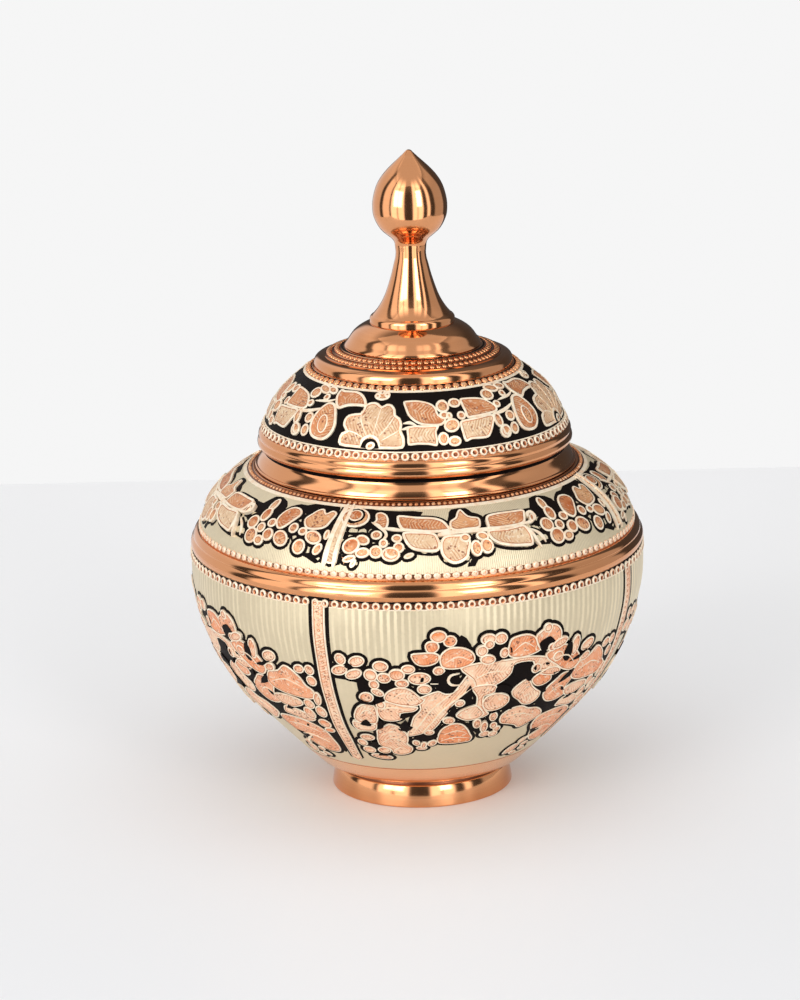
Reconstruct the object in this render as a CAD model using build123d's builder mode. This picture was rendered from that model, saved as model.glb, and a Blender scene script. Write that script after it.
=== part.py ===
"""Footed candy bowl with a domed lid and a tall onion finial, spun from copper sheet.

Every piece is a ring or a shell turned about the Z axis, and leaves are chased on bowl and shoulder. The origin
is the centre of the foot on the table, +Z points up, and lengths are millimetres. The foot, bowl, band, shoulder
and collar are soldered into the box. The rest is the lid, whose finial is clamped by one long stud, a washer and
a nut.
"""

from build123d import *
from math import atan2, tan
import os

# Sheet and clearances
sheet = 1.0  # wall of every spun shell
sleeve_play = 0.5  # radial play of the lid's sleeve in the mouth
seat_gap = 0.3  # lid's rim above the collar when the lid is on
stud_play = 0.2  # radial play of the stud in the holes that it passes through

# Foot ring
foot_height = 10.3
foot_neck_r = 32.2
foot_flat_width = 1.5  # flat that stands on the table, outside the neck
foot_lip_width = 2.1  # lip at its foot, outside the neck
foot_lip_lean = 0.6  # the same at the lip's top
foot_lip_edge = 0.6  # height of the rounded edge under the lip
foot_lip_height = 8.2

# Bowl
heel_overhang = 0.8  # flat of the bowl's floor outside the foot's neck
heel_run = 7.2  # width and height of the rounded heel
heel_rise = 2.9
belly_r = 84.9
belly_height = 77.7  # widest ring, above the floor
rim_tuck = 0.3  # rim inside the belly
rim_rise = 7.8  # rim above the belly, where the band's underside lies

# Band round the rim
band_height = 6.9
band_lap = 1.2  # how far the bowl's rim steps in under the band
band_roll_width = 0.5  # lower roll past the bowl's rim
band_groove_inset = 0.6  # groove between the rolls, inside the bowl's rim
band_groove_height = 4.2  # groove between the rolls, and the joint behind it

# Shoulder
shoulder_inset = 3.1  # shoulder's foot inside the bowl's rim
shoulder_height = 23.3  # band's top to the collar's seat
shoulder_lap = 0.5  # shoulder's flat past the collar's foot

# Neck collar: widths from the mouth outwards
mouth_r = 54.4
collar_height = 7.0
collar_foot_width = 5.6
collar_bead_height = 1.3
collar_waist_width = 4.8  # groove above the bead at its foot
collar_top_width = 2.2
collar_lip_height = 1.4
collar_lip_flat = 0.9

# Rim of the lid: widths from the mouth outwards
rim_height = 6.8
rim_foot_width = 2.4
rim_roll_width = 4.4  # lower roll
rim_roll_height = 2.5
rim_groove_width = 3.7
rim_groove_height = 3.9
rim_top_width = 2.9
rim_crest_width = 0.6  # upper roll past the middle of its two edges
rim_wall = 1.2  # wall at its top edge

# Sleeve and dome of the lid
sleeve_depth = 8.3  # below the rim's underside
sleeve_flange = 1.7
sleeve_bevel = 0.4
dome_inset = 0.4  # dome's foot inside the rim's top edge
dome_edge_height = 0.6
dome_height = 23.4
dome_margin = 0.4  # dome's flat past the crown plate

# Crown plate on the dome
crown_r = 37.0
crown_height = 6.9
crown_edge_height = 0.8  # upright edge under its roll
crown_step_width = 3.9
crown_step_height = 4.1

# Skirt and stem of the finial
skirt_r = 25.4
skirt_margin = 0.5  # crown plate's flat past the skirt, and the skirt's flat past the stem
skirt_edge_height = 0.5
skirt_height = 8.8
stem_foot_r = 15.8
stem_edge_height = 1.2  # upright edge of its lip
stem_lip_width = 1.1  # roll of the lip
stem_lip_height = 2.8
stem_waist_r = 5.6
stem_waist_drop = 2.1  # waist below the bulb's seat
stem_height = 28.5

# Bulb of the finial
bulb_seat_flare = 0.2  # bulb's seat outside the stem's waist
bulb_r = 13.8
bulb_belly_height = 14.9  # widest ring, above its seat
bulb_height = 35.5
bulb_tip_r = 1.3  # rounded point
bulb_tip_height = 0.7
bulb_solid_share = 0.35  # share of the cup's length, from the seat, that is a solid neck

# Chased relief on bowl and shoulder
relief = 0.3  # leaves stand this far out of the wall
relief_root = 0.4  # their blanks reach this far into the wall that they are joined to

# Stud, washer and nut
stud_r = 3.0
stud_in_bulb = 6.1  # above the bulb's seat
stud_below_nut = 2.5
stud_bevel = 0.5
washer_r = 9.0
washer_thick = 1.6
nut_across = 10.0
nut_thick = 5.0
nut_bevel = 0.6

# Heights from the table, piece on piece
floor_z = foot_height
belly_z = floor_z + belly_height
band_z = belly_z + rim_rise
ledge_z = band_z + band_groove_height
shoulder_z = band_z + band_height
collar_z = shoulder_z + shoulder_height
seat_z = collar_z + collar_height
rim_z = seat_z + seat_gap
dome_z = rim_z + rim_height
crown_z = dome_z + dome_height
skirt_z = crown_z + crown_height
stem_z = skirt_z + skirt_height
bulb_z = stem_z + stem_height
tip_z = bulb_z + bulb_height

# Heights of the fasteners under the dome
washer_z = crown_z - sheet - washer_thick
nut_z = washer_z - nut_thick
stud_z = nut_z - stud_below_nut
stud_top_z = bulb_z + stud_in_bulb

# Radii that mating pieces share
foot_inner_r = foot_neck_r - sheet
heel_r = foot_neck_r + heel_overhang
bowl_rim_r = belly_r - rim_tuck
band_inner_r = bowl_rim_r - band_lap
band_groove_r = bowl_rim_r - band_groove_inset
shoulder_foot_r = bowl_rim_r - shoulder_inset
collar_foot_r = mouth_r + collar_foot_width
collar_waist_r = mouth_r + collar_waist_width
collar_top_r = mouth_r + collar_top_width
shoulder_top_r = collar_foot_r + shoulder_lap
sleeve_r = mouth_r - sleeve_play
rim_groove_r = mouth_r + rim_groove_width
rim_top_r = mouth_r + rim_top_width
dome_foot_r = rim_top_r - dome_inset
dome_top_r = crown_r + dome_margin
crown_step_r = crown_r - crown_step_width
crown_flat_r = skirt_r + skirt_margin
skirt_top_r = stem_foot_r + skirt_margin
bulb_seat_r = stem_waist_r + bulb_seat_flare
hole_r = stud_r + stud_play

# Shapes of the spun curves: each pair is a share of the run across and a share of the rise
bowl_curve = ((0.226, 0.136), (0.443, 0.273), (0.644, 0.409), (0.794, 0.552), (0.902, 0.697), (0.971, 0.846))
shoulder_curve = ((0.055, 0.236), (0.171, 0.438), (0.338, 0.618), (0.557, 0.777), (0.786, 0.905))
dome_curve = ((0.103, 0.189), (0.215, 0.390), (0.374, 0.579), (0.574, 0.741), (0.785, 0.886))
skirt_curve = ((0.132, 0.217), (0.308, 0.494), (0.527, 0.723), (0.758, 0.880))
stem_curve = ((0.297, 0.144), (0.522, 0.309), (0.687, 0.487), (0.824, 0.661), (0.934, 0.831))
bulb_cup_curve = ((0.225, 0.228), (0.638, 0.423), (0.913, 0.685))
bulb_cap_curve = ((0.040, 0.196), (0.144, 0.397), (0.312, 0.568), (0.544, 0.729), (0.792, 0.874))

# Chased leaves of one panel. Each place is a turn in degrees, to the right of the front, and a rise in
# hundredths of the wall's curve. The first outline is the strap between two panels.
panels = 4
pad_reach = 21.2  # half length of the prism that cuts a leaf out of its wall
bowl_seam = -21.8  # turn of a line that no leaf crosses
bowl_leaves = (
    ((-26.6, 90), (-26.9, 68), (-27.8, 40), (-29.4, 19), (-25.2, 19), (-23.7, 40), (-23.3, 68),
     (-23.2, 90)),
    ((-4.5, 41), (-3.2, 48), (-0.2, 58), (-1, 64), (4.5, 68), (8.6, 67), (13, 77), (16.5, 79),
     (18, 73), (11, 63),
     (8, 57), (5.2, 49), (1.2, 43)),
    ((-9.7, 64), (-9.2, 67), (-4.5, 70.5), (-1.8, 68), (-1.6, 64.2), (-3, 61.5), (-7, 61.5)),
    ((-12.2, 60), (-11, 62.5), (-6, 60), (-1.6, 59), (-2.8, 56.5), (-5.6, 56), (-5.4, 53),
     (-8, 51.5), (-11, 52)),
    ((-19.6, 53), (-18, 59), (-15.2, 62), (-13, 60.5), (-12.9, 54), (-13.6, 51), (-18, 51)),
    ((-14.2, 41.5), (-13, 45.5), (-9.5, 49.5), (-7, 48), (-5.6, 44), (-5.2, 40), (-3, 30.5),
     (-4.2, 26), (-8, 24.5),
     (-10.8, 26), (-11.2, 29.5), (-14.8, 33)),
    ((5, 36), (6.2, 33.5), (10, 32.5), (16.6, 33.5), (17, 37), (12.6, 48), (10, 49), (7.6, 48), (5.8, 45)),
    ((18.6, 71), (19, 79.5), (28, 80.5), (33, 79), (38, 74), (33.5, 72.5), (30.6, 73),
     (29.6, 77.5), (25, 78),
     (23, 72)),
    ((24.4, 52), (27, 54.5), (30.4, 55), (36.4, 51.5), (39, 49), (40, 45.5), (35, 40), (31, 42),
     (25, 45.5)),
    ((35, 80.5), (39, 82.5), (42.4, 80), (45, 76.5), (46.2, 72.5), (44, 69.5), (40.6, 71), (39.2, 75.5)),
    ((36.4, 58), (36.8, 62), (41.4, 67), (45, 65.5), (44, 59), (45.4, 55.5), (42.6, 53), (38.8, 54)),
    ((46.2, 69.5), (50, 73), (52.6, 76), (55, 75), (60.2, 66), (60.4, 62.5), (58, 60), (49, 61), (46, 63)),
    ((40, 44), (44, 46), (50, 46), (54.4, 44), (57.4, 40), (58, 29), (56.4, 24), (52, 23),
     (47, 24.5), (41.4, 34)),
    ((22.3, 86), (23.4, 88), (27, 89), (29.4, 87), (31.2, 82), (28, 81.7), (24, 81.5), (22.2, 82.5)),
)
shoulder_seam = 19.0
shoulder_leaves = (
    ((-24.9, 17), (-23.4, 88), (-20.0, 88), (-21.0, 17)),
    ((-12.6, 79), (-11, 82), (-9, 78), (-8.2, 69), (-9.6, 57), (-12.8, 67)),
    ((-5.9, 70), (-5.4, 76), (0, 75), (7.4, 69), (8.9, 61), (8.9, 54.5), (4, 54), (-4, 57)),
    ((-3.9, 52), (4.6, 51), (6.1, 36), (4.8, 30.5), (1, 31), (-3.3, 43)),
    ((9.7, 57), (10.1, 66), (13.7, 82), (15.4, 72), (18.2, 67), (17.4, 55), (14, 54)),
    ((6.9, 47), (6.9, 22), (9, 17), (11.2, 18), (13, 23), (14.3, 37), (13.6, 46.5)),
    ((20.4, 58), (20.8, 68), (23.6, 70), (33, 68), (30.9, 52), (20.9, 51.5)),
    ((19.8, 48), (21.4, 34), (29, 27), (31.2, 27), (31.4, 46), (30, 49)),
    ((46.4, 56), (47.2, 68), (49.4, 76), (52.4, 75), (53.8, 67), (50.2, 47), (48.2, 46)),
    ((55.6, 63), (58.6, 79), (60.4, 80), (63, 79), (64.4, 76), (63.4, 56), (60.4, 51), (57.4, 52)),
)

os.makedirs("parts", exist_ok=True)


def along(start, end, shares):
    """Points between two points, each at its share of the run and of the rise."""
    run = end[0] - start[0]
    rise = end[1] - start[1]
    return [(start[0] + across * run, start[1] + up * rise) for across, up in shares]


def lining(curve, first=0.0, steps=5):
    """Points one sheet inside a curve that runs up the outside of a shell, from a share of it to its top."""
    points = []
    for step in range(steps + 1):
        share = first + (1 - first) * step / steps
        forward = curve % share
        points.append(curve @ share + Vector(-forward.Y, forward.X) * sheet)
    return points


def fold(curve):
    """Inner corner where the top of a curve turns into the flat that runs in towards the axis."""
    lean = atan2((curve % 1).Y, -(curve % 1).X)
    return curve @ 1 - Vector(tan(lean / 2), 1) * sheet


def swollen(curve, out, steps=16):
    """Points of a curve moved outwards, or inwards where out is below zero."""
    points = []
    for step in range(steps + 1):
        forward = curve % (step / steps)
        points.append(curve @ (step / steps) + Vector(forward.Y, -forward.X) * out)
    return points


def place_on(curve, turn, rise):
    """Place on the wall that a curve makes when it is spun."""
    at = curve @ (rise / 100)
    return Vector(at.X, 0, at.Y).rotate(Axis.Z, turn - 90)


def chased(curve, leaves, seam):
    """Low pads with straight-cut edges that follow a wall: the leaves of every panel."""
    with BuildPart() as skin:
        with BuildSketch(Plane.XZ.rotated((0, 0, seam))):
            with BuildLine():
                outer = Spline(swollen(curve, relief), tangents=(curve % 0, curve % 1))
                inner = Spline(swollen(curve, -relief_root), tangents=(curve % 0, curve % 1))
                Line(outer @ 0, inner @ 0)
                Line(outer @ 1, inner @ 1)
            make_face()
        revolve(axis=Axis.Z)
    with BuildPart() as pads:
        for leaf in leaves:
            turns, rises = zip(*leaf)
            turn = (min(turns) + max(turns)) / 2
            rise = (min(rises) + max(rises)) / 2
            middle = place_on(curve, turn, rise)
            across = Vector(1, 0, 0).rotate(Axis.Z, turn)
            up = place_on(curve, turn, rise + 1) - middle
            plane = Plane(middle, x_dir=across, z_dir=across.cross(up))
            with BuildPart(mode=Mode.PRIVATE) as pad:
                with BuildSketch(plane):
                    with BuildLine():
                        corners = [plane.to_local_coords(place_on(curve, *place)) for place in leaf]
                        Polyline([(corner.X, corner.Y) for corner in corners], close=True)
                    make_face()
                extrude(amount=pad_reach, both=True)
                add(skin.part, mode=Mode.INTERSECT)
            with PolarLocations(0, panels):
                add(pad.part)
    return pads.part


# Foot: a ring of sheet rolled out into a solid lip that stands on the table
with BuildPart() as foot_ring:
    with BuildSketch(Plane.XZ):
        with BuildLine():
            foot_flat = (foot_neck_r + foot_flat_width, 0)
            lip_edge = (foot_neck_r + foot_lip_width, foot_lip_edge)
            lip_top = (foot_neck_r + foot_lip_lean, foot_lip_height)
            Polyline(
                (foot_neck_r, foot_height),
                (foot_inner_r, foot_height),
                (foot_inner_r, 0),
                foot_flat,
            )
            Spline(foot_flat, lip_edge, tangents=((1, 0), (-0.15, 1)))
            Spline(lip_edge, lip_top, tangents=((-0.15, 1), (-0.4, 1)))
            Spline(lip_top, (foot_neck_r, foot_height), tangents=((-1, 0.6), (0, 1)))
        make_face()
    revolve(axis=Axis.Z)
foot_ring.part.label = "foot_ring"
export_step(foot_ring.part, "parts/foot_ring.step")

# Bowl: flat floor, heel and belly in one sheet, stepped in under the band and turned in as a ledge
with BuildPart() as bowl_shell:
    with BuildSketch(Plane.XZ.rotated((0, 0, bowl_seam))):
        with BuildLine():
            heel_start = (heel_r, floor_z)
            heel_end = (heel_r + heel_run, floor_z + heel_rise)
            belly = (belly_r, belly_z)
            rim = (bowl_rim_r, band_z)
            heel = TangentArc(heel_start, heel_end, tangent=(1, 0))
            wall = Spline(heel_end, *along(heel_end, belly, bowl_curve), belly, tangents=(heel % 1, (0, 1)))
            TangentArc(belly, rim, tangent=(0, 1))
            Polyline(
                rim,
                (band_inner_r, band_z),
                (band_inner_r, ledge_z),
                (shoulder_foot_r - sheet, ledge_z),
                (shoulder_foot_r - sheet, ledge_z - sheet),
                (band_inner_r - sheet, ledge_z - sheet),
                (band_inner_r - sheet, band_z - sheet),
                (bowl_rim_r - sheet, band_z - sheet),
                lining(wall)[-1],
            )
            Spline(lining(wall), tangents=(wall % 0, wall % 1))
            TangentArc((heel_r, floor_z + sheet), lining(wall)[0], tangent=(1, 0))
            Polyline((heel_r, floor_z + sheet), (0, floor_z + sheet), (0, floor_z), heel_start)
        make_face()
    revolve(axis=Axis.Z)
    add(chased(wall, bowl_leaves, bowl_seam))
bowl_shell.part.label = "bowl_shell"
export_step(bowl_shell.part, "parts/bowl_shell.step")

# Band: two rolls with a groove between, lapped over the bowl's stepped rim and its ledge
with BuildPart() as belt_band:
    with BuildSketch(Plane.XZ):
        with BuildLine():
            roll_crest = (bowl_rim_r + band_roll_width, (band_z + ledge_z) / 2)
            groove = (band_groove_r, ledge_z)
            band_top = (shoulder_foot_r, shoulder_z)
            Polyline(
                band_top,
                (shoulder_foot_r, ledge_z),
                (band_inner_r, ledge_z),
                (band_inner_r, band_z),
                (bowl_rim_r, band_z),
            )
            ThreePointArc((bowl_rim_r, band_z), roll_crest, groove)
            TangentArc(band_top, groove, tangent=(1, 0))
        make_face()
    revolve(axis=Axis.Z)
belt_band.part.label = "belt_band"
export_step(belt_band.part, "parts/belt_band.step")

# Shoulder: a dome that stands on the bowl's ledge and turns in flat to the mouth
with BuildPart() as shoulder_shell:
    with BuildSketch(Plane.XZ.rotated((0, 0, shoulder_seam))):
        with BuildLine():
            swell_foot = (shoulder_foot_r, shoulder_z)
            swell_top = (shoulder_top_r, collar_z)
            swell_points = along(swell_foot, swell_top, shoulder_curve)
            swell = Spline(swell_foot, *swell_points, swell_top, tangents=((0, 1), (-1, 0.45)))
            Polyline(swell_top, (mouth_r, collar_z), (mouth_r, collar_z - sheet), fold(swell))
            Spline(*lining(swell)[:-1], fold(swell), tangents=(swell % 0, swell % 1))
            Polyline(
                lining(swell)[0],
                (shoulder_foot_r - sheet, ledge_z),
                (shoulder_foot_r, ledge_z),
                swell_foot,
            )
        make_face()
    revolve(axis=Axis.Z)
    add(chased(swell, shoulder_leaves, shoulder_seam))
shoulder_shell.part.label = "shoulder_shell"
export_step(shoulder_shell.part, "parts/shoulder_shell.step")

# Collar: a bead at its foot, a waisted cone and a rolled lip round the mouth, hollow underneath
with BuildPart() as neck_collar:
    with BuildSketch(Plane.XZ):
        with BuildLine():
            bead_foot = (collar_foot_r - collar_bead_height / 2, collar_z)
            bead_top = (collar_waist_r, collar_z + collar_bead_height)
            lip_foot = (collar_top_r, seat_z - collar_lip_height)
            lip_flat = (mouth_r + collar_lip_flat, seat_z)
            Polyline(lip_flat, (mouth_r, seat_z), (mouth_r, collar_z), bead_foot)
            ThreePointArc(bead_foot, (collar_foot_r, collar_z + collar_bead_height / 2), bead_top)
            Spline(bead_top, lip_foot, tangents=((-0.25, 1), (-0.6, 1)))
            TangentArc(lip_flat, lip_foot, tangent=(1, 0))
        make_face()
    revolve(axis=Axis.Z)
    with BuildSketch(Plane.XZ):
        with BuildLine():
            Polyline(
                (mouth_r + sheet, collar_z),
                (collar_waist_r - sheet, collar_z),
                (collar_waist_r - sheet, bead_top[1]),
                (collar_top_r - sheet, lip_foot[1] - sheet),
                (mouth_r + sheet, lip_foot[1] - sheet),
                close=True,
            )
        make_face()
    revolve(axis=Axis.Z, mode=Mode.SUBTRACT)
neck_collar.part.label = "neck_collar"
export_step(neck_collar.part, "parts/neck_collar.step")

# Rim of the lid: a flat seat flange and an upright wall with two rolls
with BuildPart() as lid_rim:
    with BuildSketch(Plane.XZ):
        with BuildLine():
            rim_foot = (mouth_r + rim_foot_width, rim_z)
            rim_crest = (mouth_r + rim_roll_width, rim_z + rim_roll_height)
            rim_groove = (rim_groove_r, rim_z + rim_groove_height)
            rim_top = (rim_top_r, dome_z)
            upper_crest = ((rim_groove_r + rim_top_r) / 2 + rim_crest_width, (rim_groove[1] + dome_z) / 2)
            ThreePointArc(rim_foot, rim_crest, rim_groove)
            ThreePointArc(rim_groove, upper_crest, rim_top)
            Polyline(
                rim_top,
                (rim_top_r - rim_wall, dome_z),
                (rim_top_r - rim_wall, rim_z + sheet),
                (sleeve_r, rim_z + sheet),
                (sleeve_r, rim_z),
                rim_foot,
            )
        make_face()
    revolve(axis=Axis.Z)
lid_rim.part.label = "lid_rim"
export_step(lid_rim.part, "parts/lid_rim.step")

# Sleeve: hangs in the mouth by a flange that lies on the rim's seat flange
with BuildPart() as lid_sleeve:
    with BuildSketch(Plane.XZ):
        with BuildLine():
            Polyline(
                (sleeve_r, rim_z - sleeve_depth),
                (sleeve_r, rim_z + sheet),
                (sleeve_r + sleeve_flange, rim_z + sheet),
                (sleeve_r + sleeve_flange, rim_z + 2 * sheet),
                (sleeve_r - sheet, rim_z + 2 * sheet),
                (sleeve_r - sheet, rim_z - sleeve_depth),
                close=True,
            )
        make_face()
    revolve(axis=Axis.Z)
    sleeve_mouth = edges().filter_by(GeomType.CIRCLE).group_by(Axis.Z)[0].sort_by(SortBy.RADIUS)[-1]
    chamfer(sleeve_mouth, length=sleeve_bevel)
lid_sleeve.part.label = "lid_sleeve"
export_step(lid_sleeve.part, "parts/lid_sleeve.step")

# Dome of the lid: flat on top, where the crown plate and the stud's washer bear
with BuildPart() as lid_dome:
    with BuildSketch(Plane.XZ):
        with BuildLine():
            dome_edge = (dome_foot_r, dome_z + dome_edge_height)
            dome_top = (dome_top_r, crown_z)
            dome_points = along(dome_edge, dome_top, dome_curve)
            swell = Spline(dome_edge, *dome_points, dome_top, tangents=((-0.35, 1), (-1, 0.6)))
            Polyline(dome_top, (hole_r, crown_z), (hole_r, crown_z - sheet), fold(swell))
            Spline(*lining(swell)[:-1], fold(swell), tangents=(swell % 0, swell % 1))
            Polyline(lining(swell)[0], (dome_foot_r - sheet, dome_z), (dome_foot_r, dome_z), dome_edge)
        make_face()
    revolve(axis=Axis.Z)
lid_dome.part.label = "lid_dome"
export_step(lid_dome.part, "parts/lid_dome.step")

# Crown plate: a dish turned over, with a quarter-round step and a sloping bed for two rows of beads
with BuildPart() as crown_plate:
    with BuildSketch(Plane.XZ):
        with BuildLine():
            crown_edge = (crown_r, crown_z + crown_edge_height)
            step_top = (crown_step_r, crown_z + crown_step_height)
            step = Spline(crown_edge, step_top, tangents=((0, 1), (-1, 0.15)))
            Polyline(
                step_top,
                (crown_flat_r, skirt_z),
                (hole_r, skirt_z),
                (hole_r, skirt_z - sheet),
                (crown_flat_r, skirt_z - sheet),
                lining(step)[-1],
            )
            Spline(lining(step), tangents=(step % 0, step % 1))
            Polyline(lining(step)[0], (crown_r - sheet, crown_z), (crown_r, crown_z), crown_edge)
        make_face()
    revolve(axis=Axis.Z)
crown_plate.part.label = "crown_plate"
export_step(crown_plate.part, "parts/crown_plate.step")

# Skirt of the finial: a small bell with a flat top
with BuildPart() as finial_skirt:
    with BuildSketch(Plane.XZ):
        with BuildLine():
            bell_edge = (skirt_r, skirt_z + skirt_edge_height)
            bell_top = (skirt_top_r, stem_z)
            bell_points = along(bell_edge, bell_top, skirt_curve)
            bell = Spline(bell_edge, *bell_points, bell_top, tangents=((-0.35, 1), (-1, 0.35)))
            Polyline(bell_top, (hole_r, stem_z), (hole_r, stem_z - sheet), fold(bell))
            Spline(*lining(bell)[:-1], fold(bell), tangents=(bell % 0, bell % 1))
            Polyline(lining(bell)[0], (skirt_r - sheet, skirt_z), (skirt_r, skirt_z), bell_edge)
        make_face()
    revolve(axis=Axis.Z)
finial_skirt.part.label = "finial_skirt"
export_step(finial_skirt.part, "parts/finial_skirt.step")

# Stem: a trumpet of even wall with a rolled lip at its foot and a waist under the bulb
with BuildPart() as finial_stem:
    with BuildSketch(Plane.XZ):
        with BuildLine():
            stem_edge = (stem_foot_r, stem_z + stem_edge_height)
            lip_top = (stem_foot_r - stem_lip_width, stem_z + stem_lip_height)
            waist = (stem_waist_r, bulb_z - stem_waist_drop)
            flare = Spline(lip_top, *along(lip_top, waist, stem_curve), waist, tangents=((-1, 1), (0, 1)))
            TangentArc(stem_edge, lip_top, tangent=(0, 1))
            Polyline(waist, (bulb_seat_r, bulb_z), (bulb_seat_r - sheet, bulb_z), lining(flare)[-1])
            Spline(lining(flare), tangents=(flare % 0, flare % 1))
            Polyline(lining(flare)[0], (stem_foot_r - sheet, stem_z), (stem_foot_r, stem_z), stem_edge)
        make_face()
    revolve(axis=Axis.Z)
finial_stem.part.label = "finial_stem"
export_step(finial_stem.part, "parts/finial_stem.step")

# Bulb: a hollow onion drawn up to a point, with a solid neck bored for the stud
with BuildPart() as finial_bulb:
    with BuildSketch(Plane.XZ):
        with BuildLine():
            seat = (bulb_seat_r, bulb_z)
            equator = (bulb_r, bulb_z + bulb_belly_height)
            point = (bulb_tip_r, tip_z - bulb_tip_height)
            cup = Spline(seat, *along(seat, equator, bulb_cup_curve), equator, tangents=((0, 1), (0, 1)))
            cap = Spline(equator, *along(equator, point, bulb_cap_curve), point, tangents=((0, 1), (-1, 1)))
            TangentArc((0, tip_z), point, tangent=(1, 0))
            cup_lining = lining(cup, bulb_solid_share)
            cap_lining = lining(cap)
            Polyline((0, tip_z), (0, cap_lining[-1].Y), cap_lining[-1])
            Spline(cap_lining, tangents=(cap % 0, cap % 1))
            Spline(cup_lining, tangents=(cup % bulb_solid_share, cup % 1))
            Polyline(cup_lining[0], (stud_r, cup_lining[0].Y), (stud_r, bulb_z), seat)
        make_face()
    revolve(axis=Axis.Z)
finial_bulb.part.label = "finial_bulb"
export_step(finial_bulb.part, "parts/finial_bulb.step")

# Stud: one rod from under the dome up into the bulb's neck
with BuildPart() as finial_stud:
    with BuildSketch(Plane.XY.offset(stud_z)):
        Circle(stud_r)
    extrude(amount=stud_top_z - stud_z)
    chamfer(edges().filter_by(GeomType.CIRCLE), length=stud_bevel)
finial_stud.part.label = "finial_stud"
export_step(finial_stud.part, "parts/finial_stud.step")

# Washer under the dome's flat
with BuildPart() as lid_washer:
    with BuildSketch(Plane.XY.offset(washer_z)):
        Circle(washer_r)
        Circle(hole_r, mode=Mode.SUBTRACT)
    extrude(amount=washer_thick)
lid_washer.part.label = "lid_washer"
export_step(lid_washer.part, "parts/lid_washer.step")

# Nut: hexagon with its lower corners bevelled off by a cone
with BuildPart() as lid_nut:
    with BuildSketch(Plane.XY.offset(nut_z)):
        RegularPolygon(radius=nut_across / 2, side_count=6, major_radius=False)
    extrude(amount=nut_thick)
    with BuildSketch(Plane.XY.offset(nut_z)):
        Circle(nut_across / 2)
    extrude(amount=nut_thick, taper=-45, mode=Mode.INTERSECT)
    with BuildSketch(Plane.XY.offset(nut_z)):
        Circle(stud_r)
    extrude(amount=nut_thick, mode=Mode.SUBTRACT)
    thread_mouth = edges().filter_by(GeomType.CIRCLE).group_by(Axis.Z)[0].sort_by(SortBy.RADIUS)[0]
    chamfer(thread_mouth, length=nut_bevel)
lid_nut.part.label = "lid_nut"
export_step(lid_nut.part, "parts/lid_nut.step")
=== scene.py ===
import math

import bmesh
import bpy
from mathutils import Matrix, Quaternion, Vector


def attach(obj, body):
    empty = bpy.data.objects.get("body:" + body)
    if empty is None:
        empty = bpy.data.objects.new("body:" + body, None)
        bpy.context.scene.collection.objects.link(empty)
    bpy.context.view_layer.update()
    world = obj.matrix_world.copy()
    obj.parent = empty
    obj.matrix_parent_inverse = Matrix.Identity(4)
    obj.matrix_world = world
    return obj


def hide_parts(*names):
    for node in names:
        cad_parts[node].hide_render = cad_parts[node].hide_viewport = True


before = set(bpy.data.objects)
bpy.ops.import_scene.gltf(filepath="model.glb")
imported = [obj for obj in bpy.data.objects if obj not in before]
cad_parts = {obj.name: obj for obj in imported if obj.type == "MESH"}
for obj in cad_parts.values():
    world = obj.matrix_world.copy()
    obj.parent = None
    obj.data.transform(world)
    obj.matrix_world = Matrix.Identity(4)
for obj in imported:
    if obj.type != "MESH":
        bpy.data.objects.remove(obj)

bpy.context.view_layer.update()

mm = 0.001
turned_steps = 192  # facets round a spun piece
panels = 4  # the ornament repeats this many times round the bowl


def each(draw, *rows, **kinds):
    """Calls draw for every row of arguments, in their order."""
    for row in rows:
        draw(*row, **kinds)


# ---------------------------------------------------------------- finishes


def feed(tree, slot, term):
    """Gives a node's socket a value or a link."""
    if isinstance(term, Value):
        tree.links.new(term.socket, slot)
    else:
        slot.default_value = term


class Value:
    """A number that varies over a surface. Its sums, products and comparisons are nodes too."""

    def __init__(self, tree, socket):
        self.tree = tree
        self.socket = socket

    def maths(self, operation, *others):
        node = self.tree.nodes.new("ShaderNodeMath")
        node.operation = operation
        for slot, term in zip(node.inputs, (self, *others)):
            feed(self.tree, slot, term)
        return Value(self.tree, node.outputs[0])

    def __add__(self, other):
        return self.maths("ADD", other)

    def __sub__(self, other):
        return self.maths("SUBTRACT", other)

    def __mul__(self, other):
        return self.maths("MULTIPLY", other)

    def __lt__(self, other):
        return self.maths("LESS_THAN", other)

    def __rsub__(self, other):
        return self * -1.0 + other

    __radd__ = __add__
    __rmul__ = __mul__

    def wave(self):
        """Its sine, brought to 0 ... 1."""
        return self.maths("SINE") * 0.5 + 0.5

    def held(self):
        """Kept between 0 and 1."""
        return self.maths("MAXIMUM", 0.0).maths("MINIMUM", 1.0)


class Nodes:
    """A node tree, and the nodes that the finishes and the room share."""

    def __init__(self, tree):
        self.tree = tree

    def node(self, kind, sockets=None, output=0, **settings):
        """An output of a new node, with its settings and with values or links on its sockets."""
        node = self.tree.nodes.new(kind)
        for setting, value in settings.items():
            setattr(node, setting, value)
        for socket, term in (sockets or {}).items():
            feed(self.tree, node.inputs[socket], term)
        return Value(self.tree, node.outputs[output])

    def split(self, vector):
        """The x, y and z of a vector."""
        node = self.tree.nodes.new("ShaderNodeSeparateXYZ")
        feed(self.tree, node.inputs[0], vector)
        return [Value(self.tree, socket) for socket in node.outputs]

    def span(self, value, low, high):
        """value from low to high, brought to 0 ... 1."""
        sockets = {"Value": value, "From Min": low, "From Max": high}
        return self.node("ShaderNodeMapRange", sockets, interpolation_type="SMOOTHSTEP")


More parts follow.
